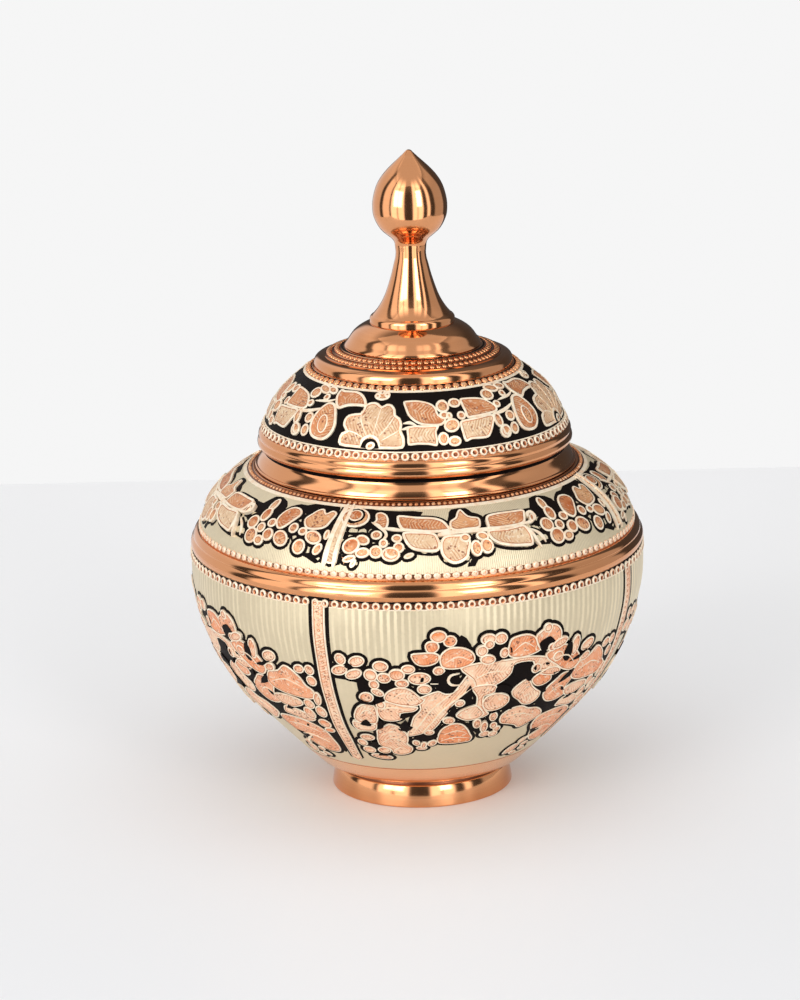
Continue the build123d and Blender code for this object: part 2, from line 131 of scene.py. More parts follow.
class Finish(Nodes):
    """A material of one Principled shader, worked out from Object coordinates in metres. What is the same
    all over goes on the shader's sockets."""

    def __init__(self, name, **constants):
        self.material = bpy.data.materials.new(name)
        self.material.use_nodes = True
        super().__init__(self.material.node_tree)
        self.shader = self.tree.nodes["Principled BSDF"]
        self.place = self.node("ShaderNodeTexCoord", output="Object")
        for socket, term in constants.items():
            self.feed(socket.replace("_", " "), term)

    def feed(self, socket, term):
        feed(self.tree, self.shader.inputs[socket], term)

    def grain(self, size, detail=3.0, roughness=0.5, place=None):
        """Soft cloudy noise, about as large as size in metres."""
        sockets = {"Vector": place or self.place, "Scale": 1 / size, "Detail": detail, "Roughness": roughness}
        return self.node("ShaderNodeTexNoise", sockets)

    def joined(self, **axes):
        """A vector of the given x, y and z."""
        return self.node("ShaderNodeCombineXYZ", {axis.upper(): term for axis, term in axes.items()})

    def blend(self, share, low, high):
        """A colour between two others."""
        low, high = (colour if isinstance(colour, Value) else (*colour, 1.0) for colour in (low, high))
        return self.node("ShaderNodeMix", {0: share, 6: low, 7: high}, output=2, data_type="RGBA")

    def done(self, colour, roughness, height, depth):
        """The material, with what varies over it on its shader. Its bump is depth metres deep."""
        bump = self.node("ShaderNodeBump", {"Height": height, "Strength": 1.0, "Distance": depth})
        self.feed("Base Color", colour)
        self.feed("Roughness", roughness)
        self.feed("Normal", bump)
        return self.material


copper_mid = (0.79, 0.385, 0.19)
copper_warm = (0.69, 0.28, 0.115)
cream_line = (0.91, 0.80, 0.62)
champagne = (0.79, 0.675, 0.465)
champagne_shade = (0.50, 0.415, 0.275)
punch_brown = (0.26, 0.07, 0.03)
vein_orange = (0.66, 0.19, 0.075)
vein_cream = (0.90, 0.68, 0.43)
vein_brown = (0.50, 0.17, 0.06)

ribs_round = 208  # ribs of the bowl's ground
rib_steps = 6  # facets of one rib
rib_foot, rib_full = 0.055, 0.085  # heights in metres between which the ribs' shine grows
hatches_round = 640  # scraped lines of the shoulder's ground
vein_pitch = 1.15  # millimetres between the veins of a leaf
vein_slope = 0.55  # how far the veins lean back from the middle of the leaf
dot_pitch = 0.00125  # metres between punched dots


def spun_copper(name, rough, streaks, low=copper_warm, high=copper_mid):
    """Copper polished on the lathe: fine rings round the axis, soft clouds and a few rubbed places."""
    finish = Finish(name, Metallic=1.0)
    x, y, z = finish.split(finish.place)
    radius = (x * x + y * y).maths("SQRT")
    turning = finish.grain(0.0009, 4.0, place=finish.joined(x=radius, y=z))
    clouds = finish.grain(0.016, 2.0)
    rubbed = finish.grain(0.004, 4.0, 0.6)
    colour = finish.blend(turning * 0.45 + clouds * 0.55, low, high)
    dull = rough * 0.7 + rubbed * (rough * 0.55) + turning * 0.03
    return finish.done(colour, dull, turning * streaks + rubbed * (streaks * 0.5), 0.00003)


def grained(name, colours, size, detail, rough, rougher, depth, spread=(), **constants):
    """A finish that one fine grain varies in colour, roughness and height. A spread makes patches of it."""
    finish = Finish(name, **constants)
    grain = finish.grain(size, detail)
    share = finish.span(grain, *spread) if spread else grain
    return finish.done(finish.blend(share, *colours), rough + grain * rougher, grain, depth)


def chased_fill(name, pale, deep, vein, engraved, wear_and_sheen, metal):
    """Copper inside a leaf or petal: the tone runs from pale to deep, under veins, punched dots and pale
    scratches. A berry is darker towards one side."""
    finish = Finish(name, Metallic=metal)
    tone = finish.node("ShaderNodeAttribute", output="Fac", attribute_name="tone")
    berry = finish.node("ShaderNodeAttribute", output="Fac", attribute_name="berry")
    along, across, _ = finish.split(finish.node("ShaderNodeUVMap", uv_map="chasing"))
    unsteady = finish.grain(0.0028, 2.0)
    row = along - across.maths("ABSOLUTE") * vein_slope
    lines = (row * (math.tau / vein_pitch) + (unsteady - 0.5) * 7.0).wave()
    veins = finish.span(lines, 0.55, 0.95) * finish.span(finish.grain(0.0075, 2.0), 0.40, 0.56)
    spots = finish.node("ShaderNodeTexVoronoi", {"Vector": finish.place, "Scale": 1 / dot_pitch})
    dots = (spots < 0.32) * finish.span(finish.grain(0.0046, 2.0), 0.46, 0.58)
    clouds = finish.grain(0.0065)
    marks = finish.grain(0.0011, 3.0, 0.6)
    shadow = berry * finish.span(across, -0.5, 1.3) * 0.45
    shade = tone * 0.8 + (clouds - 0.5) * 1.0 + (marks - 0.5) * 0.6 + shadow
    copper = finish.blend(shade.held(), pale, deep)
    lined = finish.blend(veins * engraved, copper, vein)
    punched = finish.blend(dots * 0.85, lined, punch_brown)
    scratches = finish.span(finish.grain(0.0013, 2.0), 0.58, 0.66) * wear_and_sheen
    height = marks * 0.4 - dots * 0.8 - veins * 0.5 + scratches * 0.5
    return finish.done(finish.blend(scratches, punched, cream_line), 0.34 + marks * 0.2, height, 0.00016)


def ribbed_ground():
    """Champagne ground of the bowl, scraped into upright ribs. The rib crests are painted lighter, a painted
    sheen that is stronger in some patches, and the ground is lighter low down, below the ribs.
    """
    finish = Finish("champagne_ribs", Metallic=0.45)
    x, y, z = finish.split(finish.place)
    ribs = (x.maths("ARCTAN2", y) * ribs_round).wave()
    clouds = finish.grain(0.02)
    fine = finish.grain(0.0012)
    upper = finish.span(z, rib_foot, rib_full)
    upright = finish.joined(x=x, y=y, z=z * 0.15)
    wear_and_sheen = finish.span(finish.grain(0.0034, 2.0, place=upright), 0.30, 0.70)
    # painted sheen: the crests of the ribs are painted lighter than their valleys
    crest_sheen = finish.span(ribs + (fine - 0.5) * 0.4, 0.30, 1.0) * upper
    shade = clouds * 0.35 + fine * 0.2 + 0.16 + crest_sheen * (0.15 + wear_and_sheen * 0.75) + (1.0 - upper) * 0.2
    colour = finish.blend(shade.held(), champagne_shade, champagne)
    return finish.done(colour, 0.30 + fine * 0.16, fine, 0.00005)


def hatched_ground():
    """Champagne ground of the shoulder, scraped with fine lines that run up the slope."""
    finish = Finish("champagne_hatching", Metallic=0.45)
    x, y, _ = finish.split(finish.place)
    fine = finish.grain(0.0015)
    lines = (x.maths("ARCTAN2", y) * hatches_round + fine * 3.0).wave()
    shade = finish.grain(0.012) * 0.5 + lines * 0.45 + fine * 0.3
    colour = finish.blend(shade.held(), champagne_shade, champagne)
    return finish.done(colour, 0.32 + fine * 0.16, lines, 0.00006)


bright_copper = spun_copper("bright_copper", 0.085, 0.2)
satin_copper = spun_copper("satin_copper", 0.30, 1.0)
# The heel's copper is a lighter copy of the other copper: painted light that stands in for the bright table
# that the heel reflects.
lit_heel_copper = spun_copper("lit_heel_copper", 0.20, 0.7, low=(0.90, 0.53, 0.30), high=(0.97, 0.66, 0.42))
groove_copper = spun_copper("groove_copper", 0.40, 0.5, low=(0.42, 0.13, 0.05), high=(0.70, 0.27, 0.13))
dark_copper = spun_copper("dark_copper", 0.30, 0.5, low=(0.10, 0.035, 0.02), high=(0.28, 0.10, 0.05))
steel = ((0.42, 0.42, 0.43), (0.60, 0.60, 0.61))
lacquer = ((0.003, 0.002, 0.002), (0.010, 0.006, 0.005))
rubbed_cream = (cream_line, (0.86, 0.60, 0.40))
fastener = grained("plain_steel", steel, 0.0006, 2.0, 0.28, 0.14, 0.00002, Metallic=1.0)
black = grained("black_lacquer", lacquer, 0.0012, 3.0, 0.42, 0.25, 0.00005, Specular_IOR_Level=0.05)
cream = grained("cream_rim", rubbed_cream, 0.0022, 3.0, 0.30, 0.2, 0.00006, (0.35, 0.8), Metallic=0.25)
fill = chased_fill("chased_fill", (0.78, 0.42, 0.20), (0.50, 0.125, 0.027), vein_cream, 0.5, 0.35, 0.4)
blush_fill = chased_fill("blush_fill", (0.96, 0.72, 0.50), (0.84, 0.26, 0.08), vein_orange, 0.62, 0.65, 0.25)
pale_fill = chased_fill("pale_fill", (0.80, 0.60, 0.38), (0.48, 0.19, 0.065), vein_brown, 0.62, 0.5, 0.2)
ribbed = ribbed_ground()
hatched = hatched_ground()

plate_finishes = (fill, cream, black, blush_fill, groove_copper, dark_copper, bright_copper, pale_fill)
FILL, RIM, GROUND, BLUSH, GROOVE, DARK, BRIGHT, PALE = range(len(plate_finishes))


# ---------------------------------------------------------------- spun pieces


def linked(name, data):
    """A new object of the scene."""
    made = bpy.data.objects.new(name, data)
    bpy.context.scene.collection.objects.link(made)
    return made


def mesh_object(work, name, materials):
    """Makes the bmesh an object of the scene."""
    mesh = bpy.data.meshes.new(name)
    work.to_mesh(mesh)
    work.free()
    for material in materials:
        mesh.materials.append(material)
    return linked(name, mesh)


def piece_from(work, name, materials, body, crease=35):
    """Makes the bmesh a piece of the object: smooth but for its sharp edges, and on its body."""
    piece = mesh_object(work, name, materials)
    piece.data.shade_smooth()
    piece.data.set_sharp_from_angle(angle=math.radians(crease))
    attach(piece, body)
    return piece


seams = {"bowl_shell": -21.8, "shoulder_shell": 19.0}  # turn about Z of the line that no chased leaf crosses
near = 2e-6  # points closer than this, in metres, are one


def section_of(node):
    """The outline of a turned CAD solid along its seam, brought to the half plane y = 0, x > 0, as a bmesh of
    edges. Ends go to the axis."""
    work = bmesh.new()
    work.from_mesh(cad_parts[node].data)
    back = Matrix.Rotation(math.radians(-seams.get(node, 0)), 3, "Z")
    bmesh.ops.rotate(work, verts=work.verts, cent=(0, 0, 0), matrix=back)
    bmesh.ops.remove_doubles(work, verts=work.verts, dist=near / 2)
    away = [v for v in work.verts if abs(v.co.y) > near or v.co.x < -near]
    bmesh.ops.delete(work, geom=away, context="VERTS")
    bmesh.ops.delete(work, geom=work.faces[:], context="FACES_ONLY")
    for end in [v for v in work.verts if len(v.link_edges) == 1 and v.co.x > near]:
        work.edges.new((end, work.verts.new((0, 0, end.co.z))))
    return work


def turn_about_axis(work, angle, steps, copies=False):
    """Spins what is in work about Z, as one surface or as copies."""
    bmesh.ops.spin(
        work,
        geom=work.verts[:] + work.edges[:] + (work.faces[:] if copies else []),
        cent=(0, 0, 0),
        axis=(0, 0, 1),
        dvec=(0, 0, 0),
        angle=angle,
        steps=steps,
        use_merge=False,
        use_normal_flip=False,
        use_duplicate=copies,
    )


def repeat_round(work, count):
    """Repeats what is in work count times round the axis, itself among them."""
    turn_about_axis(work, math.tau * (count - 1) / count, count - 1, copies=True)


def spin_round(work, steps=turned_steps):
    """Turns a section of edges full circle round the axis: one sector first, then its copies, joined."""
    sectors = 24
    turn_about_axis(work, math.tau / sectors, steps // sectors)
    repeat_round(work, sectors)
    bmesh.ops.remove_doubles(work, verts=work.verts, dist=near)
    bmesh.ops.recalc_face_normals(work, faces=work.faces)


def turned_piece(node, name, material, body, slot="polished_copper"):
    """A smooth spun piece in the place of a CAD solid."""
    work = section_of(node)
    spin_round(work)
    piece = piece_from(work, name, [material], body)
    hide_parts(node)


class Wall:
    """Outer side of a spun shell. Places on it are a turn in degrees from the front, to the right, and a rise
    in millimetres along the wall from a height."""

    rows = 60

    def __init__(self, node, low, high, start=0.0):
        section = section_of(node)
        ends = [tuple((v.co.x / mm, v.co.z / mm) for v in edge.verts) for edge in section.edges]
        section.free()
        self.line = []
        for row in range(self.rows + 1):
            z = low + (high - low) * row / self.rows
            crossings = [
                a[0] + (b[0] - a[0]) * (z - a[1]) / (b[1] - a[1])
                for a, b in ends
                if a[1] != b[1] and min(a[1], b[1]) <= z <= max(a[1], b[1])
            ]
            self.line.append((max(crossings), z))
        self.rises = [start]
        for a, b in zip(self.line, self.line[1:]):
            self.rises.append(self.rises[-1] + math.dist(a, b))

    def section(self, rise, lift=0.0):
        """Radius and height of the wall at that rise, lift millimetres off it."""
        last = len(self.rises) - 2
        row = min(max(sum(1 for r in self.rises if r <= rise) - 1, 0), last)
        share = (rise - self.rises[row]) / (self.rises[row + 1] - self.rises[row])
        (r0, z0), (r1, z1) = self.line[row], self.line[row + 1]
        run, climb = r1 - r0, z1 - z0
        length = math.hypot(run, climb)
        return (
            r0 + run * share + lift * climb / length,
            z0 + climb * share - lift * run / length,
        )

    def at(self, turn, rise, lift):
        """The place in metres, lift millimetres off the wall."""
        radius, height = self.section(rise, lift)
        angle = math.radians(turn)
        return Vector((radius * math.sin(angle), -radius * math.cos(angle), height)) * mm

    def rise_at(self, height):
        """The rise where the wall has that height."""
        places = zip(self.line, self.line[1:], self.rises, self.rises[1:])
        for (_, low), (_, high), rise, following in places:
            if low <= height <= high:
                return rise + (following - rise) * (height - low) / (high - low)
        return self.rises[-1]

    def rises_at(self, *heights):
        """The rises of several heights, in millimetres."""
        return [self.rise_at(height) for height in heights]


each(
    turned_piece,
    ("foot_ring", "turned_foot", bright_copper, "box"),
    ("bowl_shell", "spun_bowl", lit_heel_copper, "box", "chased_copper"),
    ("belt_band", "turned_belt", bright_copper, "box"),
    ("shoulder_shell", "spun_shoulder", satin_copper, "box", "chased_copper"),
    ("neck_collar", "turned_collar", bright_copper, "box"),
    ("lid_rim", "turned_lid_rim", bright_copper, "lid"),
    ("lid_sleeve", "turned_sleeve", satin_copper, "lid"),
    ("lid_dome", "spun_dome", satin_copper, "lid", "chased_copper"),
    ("crown_plate", "turned_crown", bright_copper, "lid"),
    ("finial_skirt", "turned_skirt", bright_copper, "lid"),
    ("finial_stem", "turned_stem", bright_copper, "lid"),
    ("finial_bulb", "turned_bulb", bright_copper, "lid"),
)
for name in ("finial_stud", "lid_washer", "lid_nut"):
    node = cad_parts[name]
    node.data.materials.clear()
    node.data.materials.append(fastener)

bowl_wall = Wall("bowl_shell", 18.5, 95.7)
shoulder_wall = Wall("shoulder_shell", 103.4, 125.9)
dome_wall = Wall("lid_dome", 140.3, 163.4, start=0.3)
crown_wall = Wall("crown_plate", 164.0, 170.38)
collar_wall = Wall("neck_collar", 130.8, 132.95)
collar_foot_wall = Wall("neck_collar", 126.05, 127.4)
foot_wall = Wall("foot_ring", 8.3, 10.25)
lid_rim_wall = Wall("lid_rim", 133.32, 134.6)


# ---------------------------------------------------------------- grounds


def skin(name, wall, low, high, lift, material, body, rows=24, steps=turned_steps, shape=None):
    """A thin ground laid round a wall from one rise to another: a closed band, its back sunk in the wall."""
    sunk = -0.3
    work = bmesh.new()
    front = [low + (high - low) * row / rows for row in range(rows + 1)]
    line = [wall.section(rise, lift) for rise in front]
    line += [wall.section(rise, sunk) for rise in reversed(front)]
    verts = [work.verts.new((radius * mm, 0, height * mm)) for radius, height in line]
    for a, b in zip(verts, verts[1:] + verts[:1]):
        work.edges.new((a, b))
    spin_round(work, steps)
    if shape:
        for v in work.verts:
            radius = math.hypot(v.co.x, v.co.y)
            wider = radius + shape(v.co, radius) * mm
            v.co.x *= wider / radius
            v.co.y *= wider / radius
    piece_from(work, name, [material], body)


def bands(wall, body, edges, *rows):
    """Skins laid edge to edge up a wall. Edges are rises. Each row is a name, a lift and a material, and then
    rows, steps and shape where a skin has its own."""
    for low, high, (name, lift, material, *more) in zip(edges, edges[1:], rows):
        skin(name, wall, low, high, lift, material, body, *more)


def rib(place, radius):
    """Height in mm that a rib of the bowl's ground stands out at a place."""
    foot_height, grown_over = 34, 34
    half_depth = 0.06
    turn = math.atan2(place.x, place.y)
    strength = min(max((place.z / mm - foot_height) / grown_over, 0), 1)
    outside = radius > bowl_wall.section(bowl_wall.rise_at(place.z / mm))[0] * mm
    return half_depth * strength * (1 + math.cos(ribs_round * turn)) if outside else 0


bands(
    bowl_wall, "box", bowl_wall.rises_at(20.0, 92.5, 92.9, 94.9, 95.7),
    ("bowl_ground", 0.05, ribbed, 26, ribs_round * rib_steps, rib),
    ("bowl_blush_line", 0.16, cream, 2),
    ("bowl_pearl_seat", 0.05, dark_copper, 3),
    # black lacquer line under the belt, which also stands in as painted shadow cast by the belt
    ("bowl_black_line_and_shadow", 0.12, black, 2),
)
bands(bowl_wall, "box", bowl_wall.rises_at(19.55, 20.0), ("heel_line", 0.08, groove_copper, 1))
# Black bands in the gap between the lid's rim and the collar: painted shadow of the gap, with some tarnish.
bands(collar_wall, "box", collar_wall.rises_at(132.0, 132.9), ("collar_shadow_and_tarnish", 0.05, black, 2))
bands(lid_rim_wall, "lid", [0.02, 1.25], ("lid_rim_shadow_and_tarnish", 0.05, black, 3))
bands(collar_foot_wall, "box", [0.02, 0.42], ("collar_foot_line", 0.06, black, 2))
# Dark copper on the foot's recess: painted shadow under the bowl's heel.
bands(foot_wall, "box", [0.05] + foot_wall.rises_at(10.2), ("foot_recess_shadow", 0.05, dark_copper, 4))
bands(
    shoulder_wall, "box", [0.05, 1.5] + shoulder_wall.rises_at(124.1, 124.8, 125.85),
    ("shoulder_pearl_seat", 0.05, dark_copper, 3),
    ("shoulder_ground", 0.08, hatched),
    ("shoulder_cream_line", 0.14, cream, 3),
    ("shoulder_rope_seat", 0.05, dark_copper, 3),
)
bands(
    dome_wall, "lid", [0.4] + dome_wall.rises_at(142.9, 143.3, 161.4, 162.0),
    ("lid_pearl_seat", 0.05, dark_copper, 3),
    ("lid_low_cream_line", 0.18, cream, 1),
    ("lid_ground", 0.08, black),
    ("lid_cream_line", 0.20, cream, 3),
)
bands(
    crown_wall, "lid", crown_wall.rises_at(167.75, 170.15, 170.36),
    ("crown_bead_seat", 0.04, dark_copper, 3),
    # black ring where the finial's skirt sits on the crown: painted contact shadow, with some tarnish
    ("crown_shadow_and_tarnish", 0.10, black, 1),
)
ring_half = 0.22
for name, rise in zip(("outer", "middle", "inner"), crown_wall.rises_at(167.75, 168.93, 170.0)):
    edges = [rise - ring_half, rise + ring_half]
    bands(crown_wall, "lid", edges, (f"crown_{name}_ring", 0.26, bright_copper, 2))
bands(
    dome_wall, "lid", dome_wall.rises_at(162.0, 163.0, 163.38),
    ("lid_crown_seat", 0.05, dark_copper, 3),
    # black ring where the crown plate sits on the dome: painted contact shadow, with some tarnish
    ("lid_crown_shadow_and_tarnish", 0.10, black, 1),
)


# ---------------------------------------------------------------- chased ornament


def smoothed(points, cuts):
    """A closed line through the points, a Catmull-Rom curve with cuts pieces between neighbours."""
    out = []
    count = len(points)
    for k in range(count):
        before, a, b, after = (points[(k + step) % count] for step in (-1, 0, 1, 2))
        for cut in range(cuts):
            t = cut / cuts
            out.append(
                0.5 * (2 * a + (b - before) * t + (2 * before - 5 * a + 4 * b - after) * t * t
                       + (3 * a - before - 3 * b + after) * t * t * t)
            )
    return out


def turned_left(points):
    """The closed line in anticlockwise order."""
    area = sum(a.cross(b) for a, b in zip(points, points[1:] + points[:1]))
    return points if area > 0 else points[::-1]


def grown(points, margin):
    """The closed line moved outwards by margin."""
    out = []
    for before, point, after in zip(points[-1:] + points, points, points[1:] + points[:1]):
        ahead = (after - before).normalized()
        out.append(point + Vector((ahead.y, -ahead.x)) * margin)
    return out


def ellipse(long, wide, sides, heading=0.0):
    """A closed line: long and wide are its half lengths."""
    tilt = Matrix.Rotation(math.radians(heading), 2)
    turns = [math.tau * k / sides for k in range(sides)]
    return [tilt @ Vector((long * math.cos(turn), wide * math.sin(turn))) for turn in turns]


def inside(point, outline):
    """Whether a closed line holds the point."""
    hits = 0
    for a, b in zip(outline, outline[1:] + outline[:1]):
        if (a.y > point.y) != (b.y > point.y):
            hits += a.x + (b.x - a.x) * (point.y - a.y) / (b.y - a.y) > point.x
    return hits % 2 == 1


def overlap(one, other):
    """Whether two closed lines cover some of the same ground."""
    for axis in (0, 1):
        for left, right in ((one, other), (other, one)):
            if max(p[axis] for p in left) < min(p[axis] for p in right):
                return False
    return any(inside(p, other) for p in one) or any(inside(p, one) for p in other)


class Ornament:
    """Chased plates on one wall. Each is drawn flat in millimetres, laid on those before, and bent round the
    wall. Places are (turn, rise). Tones run from 0, pale, to 1, deep. Headings are degrees from level,
    anticlockwise. With cuts at 1 an outline is as drawn, and above that it is rounded."""

    cut = 3.5  # plates get an edge every cut millimetres, so that they follow the wall
    widest = 112  # no plate is wider
    sunk = -0.12  # the underside, in the wall
    bed = 0.10  # lowest plates above the first ground
    fill_height = 0.05
    rim_height = 0.14
    rim_bevel = 0.12  # width of the slopes on both sides of a rim
    step = 0.13  # between a plate and one laid over it
    over = 0.02  # a slot above the rims that it crosses, and a stroke above that
    groove = 0.26  # dark line inside the rim
    large = 2.6  # half length from which an oval gets more facets
    berry_swell = 0.3  # width of a berry's slope, as a share of its half width
    ground_step = 0.0004  # between one patch of ground and the next, which it may cover

    def __init__(self, wall, first_lift=0.0, rim=0.0, halo=0.0, fill_finish=FILL):
        self.wall = wall
        self.rim = rim
        self.halo = halo
        self.fill_finish = fill_finish
        self.ground_lift = first_lift
        self.first_lift = first_lift + self.bed
        self.laid = []  # outline and level of every plate so far
        self.relief = self.new_work()
        self.ground = self.new_work()

    def new_work(self):
        """An empty bmesh with the layers that the fills read."""
        work = bmesh.new()
        work.faces.layers.float.new("tone")
        work.faces.layers.float.new("berry")
        work.loops.layers.uv.new("chasing")
        return work

    def flat(self, places):
        """The middle of the places, and the places in millimetres from it."""
        centre = [sum(part) / len(places) for part in zip(*places)]
        radius = self.wall.section(centre[1])[0]
        return centre, [
            Vector((math.radians(turn - centre[0]) * radius, rise - centre[1])) for turn, rise in places
        ]

    def outline(self, places, cuts):
        """The middle of the places, and the closed line through them."""
        centre, corners = self.flat(places)
        return centre, smoothed(corners, cuts)

    def level_of(self, centre, points):
        """How many plates deep this one lies: one more than the highest that it covers in part."""
        radius = self.wall.section(centre[1])[0]
        outline = [Vector((centre[0] + math.degrees(p.x / radius), centre[1] + p.y)) for p in points]
        below = [level for other, level in self.laid if overlap(outline, other)]
        level = max(below, default=-1) + 1
        self.laid.append((outline, level))
        return level

    def top_of(self, centre, points):
        """Just over the rims of the plates that it covers in part."""
        level = self.level_of(centre, points)
        return self.first_lift + max(level - 1, 0) * self.step + self.rim_height + self.over

    def lay(self, into, centre, points, rings, lift, middle, tone=0.0, heading=0.0, berry=0.0):
        """Adds a plate: its outline at lift, rings of (inset, lift, finish) inwards, then its middle."""
        work = self.new_work()
        made = bmesh.ops.create_circle(work, cap_ends=True, radius=1, segments=len(points))
        for v, point in zip(made["verts"], turned_left(points)):
            v.co = (point.x, point.y, lift)
        work.faces.ensure_lookup_table()
        face = work.faces[0]
        face.normal_update()
        face.material_index = rings[0][2] if rings else middle
        for part in bmesh.ops.extrude_face_region(work, geom=[face], use_keep_orig=True)["geom"]:
            if isinstance(part, bmesh.types.BMVert):
                part.co.z = self.sunk
        face.material_index = middle
        for inset, ring_lift, finish in rings:
            ring = bmesh.ops.inset_individual(
                work, faces=[face], thickness=inset, depth=0, use_even_offset=True
            )["faces"]
            for side in ring:
                side.material_index = finish
            for v in face.verts:
                v.co.z = ring_lift
        self.cut_across(work)
        along = Vector((math.cos(math.radians(heading)), math.sin(math.radians(heading))))
        tone_layer = work.faces.layers.float["tone"]
        berry_layer = work.faces.layers.float["berry"]
        chasing = work.loops.layers.uv["chasing"]
        for side in work.faces:
            side[tone_layer] = tone
            side[berry_layer] = berry
            for loop in side.loops:
                spot = loop.vert.co.xy
                loop[chasing].uv = (spot.dot(along), along.cross(spot))
        bmesh.ops.recalc_face_normals(work, faces=work.faces[:])
        radius = self.wall.section(centre[1])[0]
        for v in work.verts:
            turn = centre[0] + math.degrees(v.co.x / radius)
            v.co = self.wall.at(turn, centre[1] + v.co.y, v.co.z)
        mesh = bpy.data.meshes.new("plate")
        work.to_mesh(mesh)
        work.free()
        into.from_mesh(mesh)
        bpy.data.meshes.remove(mesh)

    def cut_across(self, work):
        """Edges across a plate both ways, where it will bend."""
        rows = int(self.widest / self.cut / 2)
        for normal in (Vector((1, 0, 0)), Vector((0, 1, 0))):
            for row in range(-rows, rows):
                level = (row + 0.5) * self.cut
                spread = [v.co.dot(normal) for v in work.verts]
                if min(spread) < level < max(spread):
                    bmesh.ops.bisect_plane(
                        work,
                        geom=work.verts[:] + work.edges[:] + work.faces[:],
                        dist=1e-4,
                        plane_co=normal * level,
                        plane_no=normal,
                    )

    def plate(self, centre, points, tone, heading, rim=None, domed=0.0, halo=None, finish=None, berry=0.0):
        """A leaf or petal with its pale rim, on a black ground that shows round it."""
        rim = self.rim if rim is None else rim
        halo = self.halo if halo is None else halo
        finish = self.fill_finish if finish is None else finish
        if halo:
            self.lay(self.ground, centre, grown(turned_left(points), halo), (), self.ground_lift, GROUND)
            self.ground_lift += self.ground_step
        base = self.first_lift + self.level_of(centre, points) * self.step
        low, high = base + self.fill_height, base + self.rim_height
        rings = [(self.rim_bevel, high, RIM), (rim - self.rim_bevel, high, RIM), (self.groove, low, GROOVE)]
        if domed:
            rings.append((domed, high, finish))
        self.lay(self.relief, centre, points, rings, low, finish, tone, heading, berry)

    def form(self, tone, heading, *places, cuts=3, **kinds):
        """A leaf or body of any outline."""
        centre, points = self.outline(places, cuts)
        self.plate(centre, points, tone, heading, **kinds)

    def oval(self, tone, turn, rise, long, wide, heading=0.0, **kinds):
        """A berry or petal: long and wide are its half lengths."""
        points = ellipse(long, wide, 12 if long < self.large else 18, heading)
        swell = min(long, wide) * self.berry_swell
        self.plate((turn, rise), points, tone, heading, domed=swell, berry=1.0, **kinds)

    def slot(self, cuts, *places):
        """A black opening between petals, over what was laid before."""
        centre, points = self.outline(places, cuts)
        self.lay(self.relief, centre, points, (), self.top_of(centre, points), GROUND)

    def field(self, cuts, *places):
        """A patch of black ground under the ornament."""
        centre, points = self.outline(places, cuts)
        self.ground_lift += self.ground_step
        self.lay(self.ground, centre, points, (), self.ground_lift, GROUND)

    def stroke(self, width, *places, taper=0.35):
        """A pale line drawn through the places, thinner towards its ends."""
        centre, spine = self.flat(places)
        left, right = [], []
        last = len(spine) - 1
        for k, point in enumerate(spine):
            ahead = (spine[min(k + 1, last)] - spine[max(k - 1, 0)]).normalized()
            half = width / 2 * (taper if k in (0, last) else 1)
            side = Vector((-ahead.y, ahead.x)) * half
            left.append(point + side)
            right.append(point - side)
        points = smoothed(left + right[::-1], 3)
        self.lay(self.relief, centre, points, (), self.top_of(centre, points) + self.over, RIM)

    def finish(self, name, body):
        """The ground and the ornament as two pieces, repeated round the wall."""
        for work, part in ((self.ground, "contours"), (self.relief, "flowers")):
            if not work.faces:
                work.free()
                continue
            repeat_round(work, panels)
            piece_from(work, f"{name}_{part}", plate_finishes, body)


bowl = Ornament(bowl_wall, first_lift=0.19, rim=0.56, halo=1.25, fill_finish=BLUSH)

# strap between two panels
bowl.field(1, (-27.6, 90.4), (-27.7, 65), (-28.1, 45), (-29.2, 25), (-30.4, 9), (-27.5, 7), (-24.4, 9),
           (-23, 25), (-22.5, 45), (-22.3, 65), (-22.1, 90.4))
bowl.form(0.3, 90, (-26.6, 89), (-26.7, 65), (-27.1, 45), (-28.2, 25), (-29.4, 9), (-27.3, 7), (-25.2, 9),
          (-24, 25), (-23.5, 45), (-23.3, 65), (-23.2, 89), cuts=1, halo=0)
strap_middle = ((86.5, -24.95), (65, -25), (45, -25.3), (25, -26.1), (9, -27.3))  # (rise, turn), downwards
strap_pearls, strap_pitch, strap_pearl_radius = 36, 2.15, 0.55
for pearl in range(strap_pearls):
    rise = strap_middle[0][0] - pearl * strap_pitch
    (high, before), (low, after) = next(
        pair for pair in zip(strap_middle, strap_middle[1:]) if pair[1][0] <= rise
    )
    turn = before + (after - before) * (high - rise) / (high - low)
    spot = ellipse(strap_pearl_radius, strap_pearl_radius, 8)
    bowl.lay(bowl.relief, (turn, rise), spot, ((0.22, 0.46, GROOVE),), 0.36, BLUSH, 0.1)

